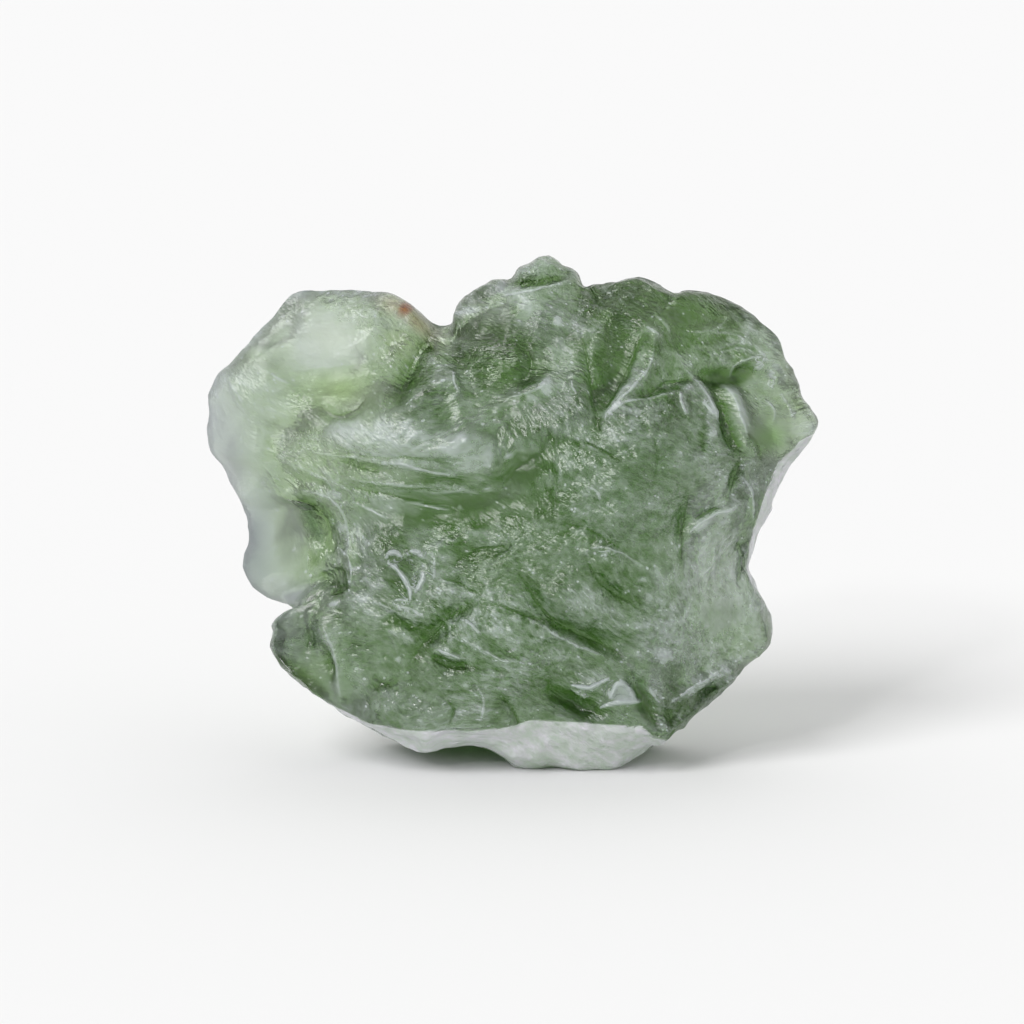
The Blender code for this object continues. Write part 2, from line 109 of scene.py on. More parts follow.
# How far the face stands out of the outline's plane, at places on it.
FRONT_HEIGHTS = (
    (-7.5, 6, 1.5), (-10.6, 5.7, 1.5), (-8.9, 8.1, 1.3), (-5.2, 8, 1.2), (-3.7, 8.5, 0.9),
    (-11.7, 4.7, 1.2), (-8.9, 3, 2.3), (-6.8, 3, 2.9), (-3.9, 3, 3.5), (-1.4, 2.4, 4), (-11.5, 3, 1),
    (-10.6, 0.9, 1), (-9.6, -0.8, 0.7), (-9.6, -2.9, 0.6), (-7, -1, 2.6), (-5.6, -0.4, 3), (-3.5, 0, 3.1),
    (-0.5, 0.5, 3.4), (-4.3, -2.5, 3.5), (-7.3, -3.5, 2.7), (-8.9, -5.4, 1.6), (-7, -6.7, 2.2),
    (-4.7, -4.6, 3.5), (-3.5, -7.6, 3.1), (-0.9, -5.4, 4), (-0.1, -8, 3.3), (2, -3.8, 4.4), (2, -7.6, 3),
    (2, -0.4, 4.4), (4.6, 1.3, 4.9), (4.6, -1.2, 4.7), (5.4, 3.4, 4.4), (1.2, 3.8, 3.8), (-0.5, 6.8, 3),
    (-2.2, 8.5, 1.9), (1.4, 10.2, 1.6), (2, 8.1, 2.7), (-2.6, 5.1, 3.2), (4.1, 6.8, 2.9), (3.7, 4.7, 3.4),
    (5.8, 8.9, 2.2), (7.9, 8.5, 2), (6, 6.8, 3.5), (8.2, 6.8, 2.7), (9.6, 6, 1.9), (10.5, 7.4, 1.4),
    (7.9, 3, 3.7), (9.4, 3.4, 3.2), (11, 3.4, 2), (12.2, 3.8, 1.2), (7.9, 0.9, 3.9), (9.4, 0.9, 2.9),
    (8.4, -2.1, 3.6), (9.6, -2.3, 2.2), (9.7, -4.6, 2), (7.5, -4.6, 3.5), (5.8, -3.8, 4.3),
    (5.4, -6.1, 3.7), (7.9, -6.9, 2.1), (3.7, -7.6, 2.6), (6.2, -8.2, 2.3),
)
BACK_HEIGHTS = (
    (-7.5, 6, 2), (-10.6, 5.1, 1.8), (-4.7, 7.8, 1.8), (-10.6, 0.9, 2.2), (-9.6, -2.7, 2.1), (-3, 5.5, 3),
    (-2.2, 8.5, 2.2), (1.4, 10, 2.2), (3.7, 7.6, 3.4), (7.9, 7.8, 2.9), (10.5, 6.6, 2.2), (11.7, 3.8, 1.6),
    (7.9, 1.3, 4), (9.6, -1.2, 2.9), (9.6, -4.6, 2.6), (7.9, -4.6, 3.7), (-6.8, 1.7, 3.4), (-3.5, 0.5, 4.4),
    (-0.5, 5.1, 3.9), (0.3, 0.5, 5), (4.6, 1.3, 4.9), (-7.7, -4.6, 3), (-4.7, -4.6, 4.2), (-0.5, -4.6, 4.9),
    (3.7, -4.6, 4.8), (-4.7, -8, 4.4), (-0.5, -8.4, 4.9), (3.7, -8.4, 4.9), (7.1, -7.6, 3.4),
)

# Hollows and swellings: centre, radii, turn in degrees, height (a hollow's is minus).
FRONT_MOUNDS = (
    ((-7.5, 5.9), (1.6, 1.95), 0, -0.6), ((-9.6, -0.8), (1.7, 1.7), 0, -0.3),
    ((-4.3, -2.5), (0.8, 0.85), 0, -0.35), ((-8.8, -5.9), (1.2, 1.35), 0, -0.6),
    ((-0.5, 6.6), (2.7, 2.1), 0, -0.4), ((8.7, -2.1), (1.2, 2.1), 0, -0.35), ((4.6, 1.3), (3.4, 3), 0, 0.4),
    ((1.4, 10.2), (1.2, 0.7), 0, 0.5),
)
BACK_MOUNDS = (
    ((5.6, 4.2), (2.3, 1.7), 25, -0.9), ((-1.2, 2.6), (2.6, 1.9), -20, -0.85),
    ((2.2, -3.2), (2.9, 2), 15, -0.95), ((-5.6, -2.2), (2.2, 1.6), -35, -0.8),
    ((-8.6, 5.4), (2, 1.7), 10, -0.5), ((8.8, -2.6), (1.5, 2.1), 0, -0.6),
    ((-3.6, -6.9), (2.1, 1.4), 12, -0.7), ((1.2, 7.6), (1.9, 1.3), -15, -0.6),
    ((-10.2, 0.2), (1.2, 1.8), 0, -0.35), ((6.4, -6.4), (1.6, 1.2), -30, -0.55),
)

# Furrows and ridges: the line they follow, half width, height (a furrow's is minus).
FRONT_LINES = (
    (((-3.2, 7.8), (-4.2, 6.2), (-4.7, 4.6)), 0.55, -0.5),
    (((-10.4, 3.8), (-9.1, 3.3), (-7.8, 3.5)), 0.5, -0.3),
    (((-9.4, 2.6), (-5.1, 3.2), (-0.9, 2.2)), 1.4, 0.45),
    (((-7.7, 0.1), (-3.5, 0.15), (1.4, 0.4)), 0.9, -0.3),
    (((-9.1, 0.3), (-7.9, -0.4), (-7.6, -1.6)), 0.45, -0.35),
    (((0.2, -2.4), (1.3, -4), (3.7, -5.4), (4.6, -5.9)), 0.5, -0.4),
    (((-4.1, -5.9), (-3, -4.8), (-2, -3.8)), 0.5, -0.35), (((4.9, 7.6), (4.4, 6), (3.7, 3.6)), 0.6, -0.45),
    (((6, 7.6), (5.8, 6.3), (5.1, 5.3), (4.1, 4.3)), 0.5, 0.25),
    (((7.9, 5.7), (8.9, 5.6), (10.3, 5.8)), 0.55, -0.6),
    (((8.9, 5.2), (9.4, 4.6), (9.7, 3.7), (10.2, 2.2)), 0.5, 0.4),
    (((7.3, 0.7), (7.1, -0.8), (7.3, -2.3)), 0.5, -0.4),
    (((1.5, -7.3), (2.4, -7.9), (3.4, -8.4)), 0.55, -0.6),
    (((4.9, -6.7), (5.4, -7.8), (6.1, -8.9)), 0.5, -0.5),
    (((-8, -4.6), (-7.4, -6.1), (-7.2, -7.8)), 0.5, 0.4), (((2, -3.3), (4.6, -5)), 0.55, 0.25),
)
BACK_LINES = (
    (((-6.5, 4), (-2, 4.9), (3, 4.4)), 0.6, -0.5), (((3.2, 6.2), (4.2, 2.6), (3.4, -0.6)), 0.55, 0.4),
    (((-3.4, -3.6), (0.4, -0.8), (5.8, -0.6)), 0.6, -0.55),
    (((-8.2, -2.2), (-6.4, 0.4), (-6, 3.2)), 0.55, 0.38), (((-2, -8), (0.6, -6), (4.6, -5.6)), 0.6, -0.5),
    (((6.6, -3.8), (7.2, 0), (8.8, 3.6)), 0.55, -0.5), (((-5, 8), (-3.6, 6.4), (-3.2, 4.8)), 0.55, -0.4),
)
# The finer furrows, ridges, lips and nicks that the face shows up close.
FRONT_NICKS = (
    (((-11.9, 5.5), (-11.6, 5), (-11.3, 4.5)), 0.15, 0.13),
    (((-6.6, 8.5), (-6.3, 8.2), (-5.9, 8.15)), 0.13, 0.12),
    (((-5.7, 7.5), (-5.4, 7.2), (-5.1, 6.9)), 0.1, -0.12),
    (((-3.2, 7.8), (-4.2, 6.25), (-4.7, 4.6)), 0.25, -0.3),
    (((-7.4, 2.3), (-6.5, 1.9), (-5.5, 1.7)), 0.17, -0.3),
    (((-5.5, 2), (-4.6, 2), (-3.6, 1.7), (-2.4, 1.5)), 0.12, 0.18),
    (((-7, 1.4), (-4.7, 1.1), (-2.6, 1), (-1.3, 0.8)), 0.12, 0.1),
    (((-6.8, 1.05), (-4.5, 0.6), (-2.4, 0.2)), 0.12, -0.12),
    (((-4.5, 0.45), (-3.5, 0.25), (-2.5, 0.1)), 0.1, 0.1),
    (((-7.7, 2.65), (-6, 2.25), (-3.9, 2.25), (-1.8, 1.8)), 0.14, -0.12),
    (((-8.9, 1.9), (-7.7, 1.3), (-6.7, 0.9)), 0.14, 0.12),
    (((-6.7, 0.45), (-5.9, 0.05), (-5.1, -0.3)), 0.12, 0.12),
    (((-0.5, 0.9), (0.3, 1.9), (1.4, 2.6)), 0.42, -0.3),
    (((-9.1, 0.5), (-8.2, 0.2), (-7.7, -0.5), (-7.55, -1.4)), 0.21, -0.35),
    (((-8.9, 0.9), (-7.7, 0.6), (-7, -0.2), (-6.8, -1.4)), 0.25, 0.25),
    (((-7.3, -1.4), (-6.75, -2.1), (-6.8, -3.1)), 0.15, 0.18),
    (((-8, -2.5), (-7.7, -2.9), (-7, -3.2)), 0.25, -0.35),
    (((-5.3, -1.98), (-5.1, -1.73), (-4.8, -1.7), (-4.48, -1.88)), 0.09, 0.42),
    (((-4.38, -1.76), (-4, -1.65), (-3.66, -1.88)), 0.09, 0.42),
    (((-5.25, -2.08), (-4.85, -2.3), (-4.5, -2.75), (-4.25, -3.2), (-4.2, -3.75)), 0.09, 0.42),
    (((-3.7, -2.45), (-3.76, -2.9), (-3.98, -3.35)), 0.09, 0.42),
    (((-4.95, -3.68), (-4.6, -3.62), (-4.3, -3.75)), 0.08, 0.14),
    (((-3.4, -1.55), (-3.2, -2.15), (-3.3, -3)), 0.13, 0.14),
    (((-8, -4.6), (-7.4, -6.1), (-7.2, -7.8)), 0.25, 0.2),
    (((-8.6, -4.9), (-8.5, -5.3), (-8.6, -5.7)), 0.15, -0.3),
    (((-7.7, -5.9), (-7.55, -6.4), (-7.4, -6.8)), 0.17, -0.3),
    (((-5.4, -4.2), (-4.3, -4.7), (-3.4, -5)), 0.3, -0.3),
    (((-4.1, -5.9), (-3, -4.8), (-2, -3.8)), 0.25, -0.2),
    (((-3.4, -5.95), (-2.6, -6.45), (-1.9, -6.4)), 0.21, -0.35),
    (((-3.2, -5.7), (-2.6, -5.9), (-2.1, -6.1)), 0.13, 0.17),
    (((-3, -2.7), (-2.1, -3), (-1.2, -3.5)), 0.14, -0.17),
    (((-2.4, -2.1), (-1.35, -1.55), (-0.3, -1.45)), 0.17, -0.2),
    (((0.2, -2.45), (0.8, -3.3), (1.4, -4.2), (2.7, -5), (3.7, -5.5), (4.6, -6)), 0.2, -0.2),
    (((1.2, -4.7), (2.45, -5.45), (3.7, -5.95)), 0.17, 0.2),
    (((-0.5, -3.8), (0.35, -4.2), (1.2, -4.5)), 0.14, -0.2),
    (((-2.1, -4.4), (-1.7, -4.7), (-1.2, -5.05)), 0.12, 0.17),
    (((3, -1.8), (3.4, -2.6), (4.1, -3.3), (5.1, -3.85)), 0.25, -0.35),
    (((-1.8, -5.4), (-0.5, -6.1), (0.8, -6.3)), 0.25, 0.2),
    (((-3, -7.6), (-2.4, -8.2), (-2.6, -8.9)), 0.21, -0.2),
    (((-1.55, -7.1), (-1.15, -8), (-1.35, -8.8)), 0.21, 0.2),
    (((-0.5, -7.6), (0, -8.2), (0.35, -8.9)), 0.21, -0.25),
    (((2.9, -1.7), (3.6, -1.45), (4.5, -1.7), (5.4, -2.3)), 0.13, 0.15),
    (((3.6, -1.9), (3.9, -1.7), (4.2, -2), (4, -2.25)), 0.12, 0.14),
    (((2.9, 2.9), (3.7, 2.6), (4.6, 2.1)), 0.12, -0.16),
    (((3.1, 1.1), (3.4, 0.9), (3.7, 0.45)), 0.13, 0.16), (((5.4, 3.8), (6, 2.6), (5.8, 0.9)), 0.5, -0.2),
    (((2, -0.4), (3.3, -0.8), (5, -1.9)), 0.21, -0.18), (((0.1, 9.6), (1.2, 9.7), (2.15, 9.9)), 0.21, -0.4),
    (((-0.5, 9), (0.8, 9.3), (2.15, 9.6)), 0.17, 0.2),
    (((-2.5, 5.95), (-2.4, 5.4), (-2.2, 4.9)), 0.13, 0.17),
    (((-0.3, 4.7), (0.9, 5.05), (1.6, 5.4)), 0.25, 0.22),
    (((2.45, 5.5), (2.5, 5.2), (2.7, 4.85)), 0.12, 0.17), (((0.25, 7), (0.8, 6.2), (0.3, 5.3)), 0.42, -0.2),
    (((6, 7.6), (5.8, 6.3), (5.15, 5.3), (4.1, 4.3), (3.8, 3.7)), 0.2, 0.22),
    (((5.3, 7.2), (4.6, 5.6), (3.9, 4.2)), 0.16, -0.16), (((2.9, 7.4), (3.2, 6), (3.5, 4.4)), 0.16, -0.14),
    (((3.2, 9.5), (3.5, 9), (3.8, 8.6)), 0.12, -0.2), (((5.4, 4.7), (6.25, 5.3), (7.5, 5.6)), 0.3, -0.3),
    (((3.9, 3.9), (4.6, 4.5), (5.6, 4.7), (6.9, 5)), 0.17, 0.2),
    (((5.4, 8), (5.8, 7.6), (6.3, 7.3)), 0.12, 0.14), (((6, 8.2), (6.4, 7.85), (6.6, 7.4)), 0.12, 0.14),
    (((7.4, 7.5), (8.4, 7.6), (9.2, 8.15)), 0.21, 0.2), (((7.8, 7.4), (9.2, 7.5), (10.4, 6.8)), 0.21, 0.2),
    (((8.6, 6.7), (9.6, 7), (10.7, 6.45)), 0.21, -0.2),
    (((7.85, 5.8), (8.9, 5.6), (10.3, 5.9)), 0.34, -0.24),
    (((9.1, 5.6), (9.3, 6.1), (10, 6.45), (10.8, 6.4)), 0.17, 0.22),
    (((10.15, 6.72), (10.4, 6.7), (10.65, 6.5)), 0.06, 0.1),
    (((10.15, 6.48), (10.4, 6.45), (10.65, 6.25)), 0.06, 0.12),
    (((10.15, 6.27), (10.35, 6.25), (10.55, 6.08)), 0.06, 0.18),
    (((10.12, 6.05), (10.3, 6.03), (10.45, 5.95)), 0.06, 0.18),
    (((10.75, 5.95), (11.05, 5.75)), 0.06, 0.12), (((10.75, 5.78), (11.1, 5.55)), 0.06, 0.14),
    (((10.7, 5.6), (11.05, 5.38)), 0.06, 0.14), (((10.7, 5.42), (11, 5.2)), 0.06, 0.12),
    (((10.75, 5.25), (11, 5.05)), 0.06, 0.1), (((-5.9, -3.75), (-4.9, -4.05), (-3.9, -4.45)), 0.06, 0.1),
    (((-5.4, -4), (-4.6, -4.3), (-3.8, -4.7)), 0.06, 0.1),
    (((-4.9, -3.85), (-4.2, -4.05), (-3.6, -4.4)), 0.06, 0.12),
    (((-4.1, 0.4), (-3.3, 0.2), (-2.6, 0.1)), 0.06, 0.14),
    (((-4.2, 0.95), (-3.2, 0.8), (-2.2, 0.85), (-1.3, 0.7)), 0.06, 0.1),
    (((-5.2, 1.25), (-4.2, 1.1), (-3, 1.15), (-1.8, 1)), 0.06, 0.08),
    (((-10.2, 5.9), (-9.8, 5.6), (-9.3, 5.35)), 0.08, 0.12),
    (((-8.4, 2.55), (-7.2, 2.3), (-6.2, 2.25)), 0.06, 0.12),
    (((8.3, 5.4), (8.7, 4.5), (9, 3.5), (9.45, 2.5)), 0.25, -0.45),
    (((8.7, 5.4), (9.3, 4.8), (9.6, 3.8), (10.2, 2.2)), 0.2, 0.2),
    (((7.1, 6.1), (8.2, 4.8), (8.7, 3.6)), 0.25, 0.28), (((7, 5.1), (7.05, 4.6), (7.3, 4)), 0.12, 0.2),
    (((7.9, 4.6), (8.2, 4.3), (8.4, 4)), 0.12, 0.2), (((9.8, 3.3), (10.3, 2.75), (10.4, 2.1)), 0.12, -0.22),
    (((10.5, 4.8), (11, 4.2), (10.9, 3.7)), 0.13, 0.13),
    (((11.2, 5), (11.6, 4.5), (11.8, 3.9)), 0.13, 0.14), (((9.4, 1.7), (10, 0.9), (10.1, -0.4)), 0.17, 0.2),
    (((9.5, 2.1), (9.3, 1.4), (9.1, 0.8)), 0.21, -0.3), (((7.3, 0.7), (7.1, -0.8), (7, -2.3)), 0.18, -0.15),
    (((7.3, -0.9), (7.8, -0.5), (8.4, -0.15), (9.4, 0.2)), 0.16, 0.27),
    (((7.5, -0.4), (8.1, 0), (8.7, 0.15)), 0.12, -0.2),
    (((9.4, -1.2), (9.7, -1.9), (9.5, -2.9)), 0.17, -0.25),
    (((7.9, -2.7), (8.4, -2.1), (8.4, -1.4)), 0.17, 0.16),
    (((1.5, -7.3), (2.4, -7.9), (3.4, -8.4)), 0.3, -0.3),
    (((2.4, -7.2), (3.3, -7.3), (4.1, -6.9)), 0.1, 0.34),
    (((2.45, -7.3), (2.9, -7.6), (3.1, -7.85)), 0.12, 0.2),
    (((4, -7.85), (4.5, -7.1), (5.3, -7.9)), 0.09, 0.34),
    (((3.6, -8.2), (4.4, -7.95), (5.4, -7.9)), 0.09, 0.34),
    (((4.9, -6.7), (5.4, -7.8), (6.1, -8.9)), 0.25, -0.18),
    (((-8.1, 4.5), (-7.4, 4.05), (-6.6, 4.2), (-6, 4.9)), 0.2, -0.22),
    (((5.6, -7.2), (5.9, -7.6), (6.2, -8)), 0.13, 0.24),
    (((6.4, -8.1), (7.5, -7.4), (8.9, -6.6)), 0.18, 0.22),
    (((8, -7.85), (8.3, -7.55), (8.6, -7.3)), 0.16, -0.27),
    (((6.45, -8.2), (6.6, -8.65), (6.75, -9)), 0.14, -0.22),
)
BACK_NICKS = (
    (((-11.4, 4.8), (-10.2, 3.9), (-8.6, 3.9)), 0.22, -0.28),
    (((-10.8, 6.6), (-9.4, 7), (-8.2, 7.9)), 0.18, 0.2),
    (((-9.9, 5), (-8.7, 4.4), (-7.3, 4.6)), 0.16, 0.18),
    (((-7.4, 7.6), (-6.6, 6.6), (-6.4, 5.4)), 0.22, -0.3),
    (((-4.6, 7.2), (-3.4, 7), (-2.4, 7.6)), 0.16, 0.2),
    (((-9.8, -1.4), (-8.8, -0.2), (-8.8, 1.2)), 0.2, -0.26),
    (((-9.4, -5.2), (-8.2, -4.4), (-7.4, -3.2)), 0.2, 0.24),
    (((-7.8, -6.6), (-6.2, -5.6), (-5, -5.8)), 0.24, -0.3),
    (((-6.4, -0.6), (-4.8, 0.8), (-4.4, 2.4)), 0.18, 0.22),
    (((-3.8, 3.6), (-2.2, 3), (-0.8, 3.4)), 0.18, 0.2), (((-2.2, 1.4), (-0.6, 1), (0.6, 1.8)), 0.16, -0.24),
    (((-0.6, 8.4), (0.6, 8), (1.8, 8.6)), 0.18, -0.26), (((0.2, 6.2), (1.4, 6.6), (2.6, 6)), 0.16, 0.2),
    (((4.2, 8), (5.2, 6.8), (6.6, 6.4)), 0.24, -0.32), (((5, 3), (6.2, 3.6), (7.2, 4.8)), 0.16, 0.2),
    (((8.2, 6.8), (9.2, 5.8), (9.4, 4.6)), 0.22, -0.3), (((9.6, 3), (10.4, 4), (11.4, 4.4)), 0.16, 0.2),
    (((0.8, -2.6), (2.2, -2), (3.6, -2.6)), 0.18, 0.22), (((1.6, -4.4), (3, -4), (4.2, -4.6)), 0.16, -0.24),
    (((-3.6, -1.6), (-2, -1.8), (-0.8, -3)), 0.2, 0.22),
    (((-5, -7.6), (-3.6, -7.2), (-2.6, -6.2)), 0.18, 0.22),
    (((5.2, -7.4), (6.4, -6.6), (7.8, -6.8)), 0.2, -0.26),
    (((7.6, -4.4), (8.6, -3.2), (9.6, -3)), 0.18, 0.22), (((4.6, 0.8), (6, 0.2), (7, 1)), 0.18, -0.24),
)

NICK_GAIN = 1.25       # by which the heights of these nicks are multiplied
NICK_EDGE = 1.25       # how a nick falls off: 2 would be bell-shaped, 1 an edge
NICK_TOP = 0.18        # millimetres that no nick stands out more than
# The crisp lines: painted highlights along ridges, lips and scars, painted shade along furrows.
LINE_REACH = 0.5       # millimetres off a line's middle where it is forgotten
LINE_HEIGHT = 0.20     # the height at which a ridge's painted highlight is as bright as any
LINE_FINE = 0.10       # the half width above which a ridge's painted highlight is less bright
LINE_MOST = 2          # how much brighter than that a line's painted highlight may get, by getting narrower
LINE_LEAST = 0.02      # the weakest line that is drawn
LINE_ENDS = 0.35       # how a line fades at its ends: the smaller, the later
OFF_ALL_LINES = 9.0    # millimetres, for corners with no line near
# The etching: usual width and depth of its bowls in millimetres, and which scatter.
ETCHED_BOWLS = ((2.7, 0.42, 11), (1.4, 0.20, 23))
FINE_BOWLS = ((0.85, 0.20, 31), (0.42, 0.10, 47))
ETCHED_LEVEL = 0.4     # the part of an etched bowl's depth that stands above the surface
FINE_LEVEL = 0.35      # the same of a fine one
# The glass flowed down to the right, and the etching runs with it.
FLOW_TURN = -30.0      # degrees
FLOW_STRETCH = 1.45    # how much longer the etching's marks are than wide
FLOW_BEND = (1.3, 5.0, (61, 63, 67))  # how far its lines wander, over what distance
MARK_WANDER = (0.9, (81, 83, 87))     # over what distance single marks wander,
BOWL_WANDER = 0.16     # and how far the fine bowls do, in millimetres,
PIT_WANDER = 0.05      # and the finest pits
# Uneven by nature: how much, over what distance in millimetres, which scatter.
ROUGH_DRIFT = (0.55, 2.2, 71)   # some areas are etched more than others
PATCH_DRIFT = (0.35, 0.5, 97)   # a patch's edge isn't quite an ellipse
RIM_START, RIM_WIDTH = 0.84, 0.12  # the rings over which the etching gets weaker
RIM_LOSS = 0.55        # how much of it the rim itself lacks
# Smooth places: centre, radii, turn, how much of the fine etching is missing.
FRONT_SMOOTH = (
    ((-7.5, 5.9), (1.9, 2.2), 0, 0.95), ((-2.4, 0.15), (4.2, 0.75), 4, 0.92),
    ((-10.2, -1.2), (1.9, 2.8), 0, 0.95), ((-11.6, 2.6), (1.7, 2.8), 0, 0.9),
    ((10.8, 3.4), (1.2, 0.9), 0, 0.85), ((-5.8, -0.7), (1.8, 0.6), -12, 0.35),
    ((6.8, 8.3), (2.4, 1.1), -10, 0.55), ((4.2, 5.6), (0.9, 1.5), -20, 0.55),
    ((-1, 7.6), (1.2, 1), 20, 0.6), ((-9.6, 6.8), (3.2, 2.8), 0, 0.75), ((-9.4, 3.9), (2.6, 1.2), 0, 0.6),
    ((0.5, 1.6), (0.7, 1.3), -40, 0.8), ((2.4, -4.6), (2.6, 0.5), -42, 0.45),
    ((2.2, -7.9), (1, 0.6), -30, 0.5), ((-8, -6.9), (1.4, 0.8), -35, 0.75),
    ((5.5, -8.2), (0.5, 1), 20, 0.7), ((8.2, -0.4), (0.5, 0.5), 0, 0.3), ((4.8, 1.6), (1.6, 1.2), 0, 0.45),
    ((9.1, 5.7), (1.6, 0.5), 0, 0.8),
)
BACK_SMOOTH = (
    ((-9, 6.2), (3.6, 3.2), 0, 0.75), ((-10.4, 0.4), (2.2, 4.2), 0, 0.8), ((11.4, 3.4), (1.6, 1.6), 0, 0.6),
    ((7.6, 8), (1.6, 1.4), 0, 0.5),
)
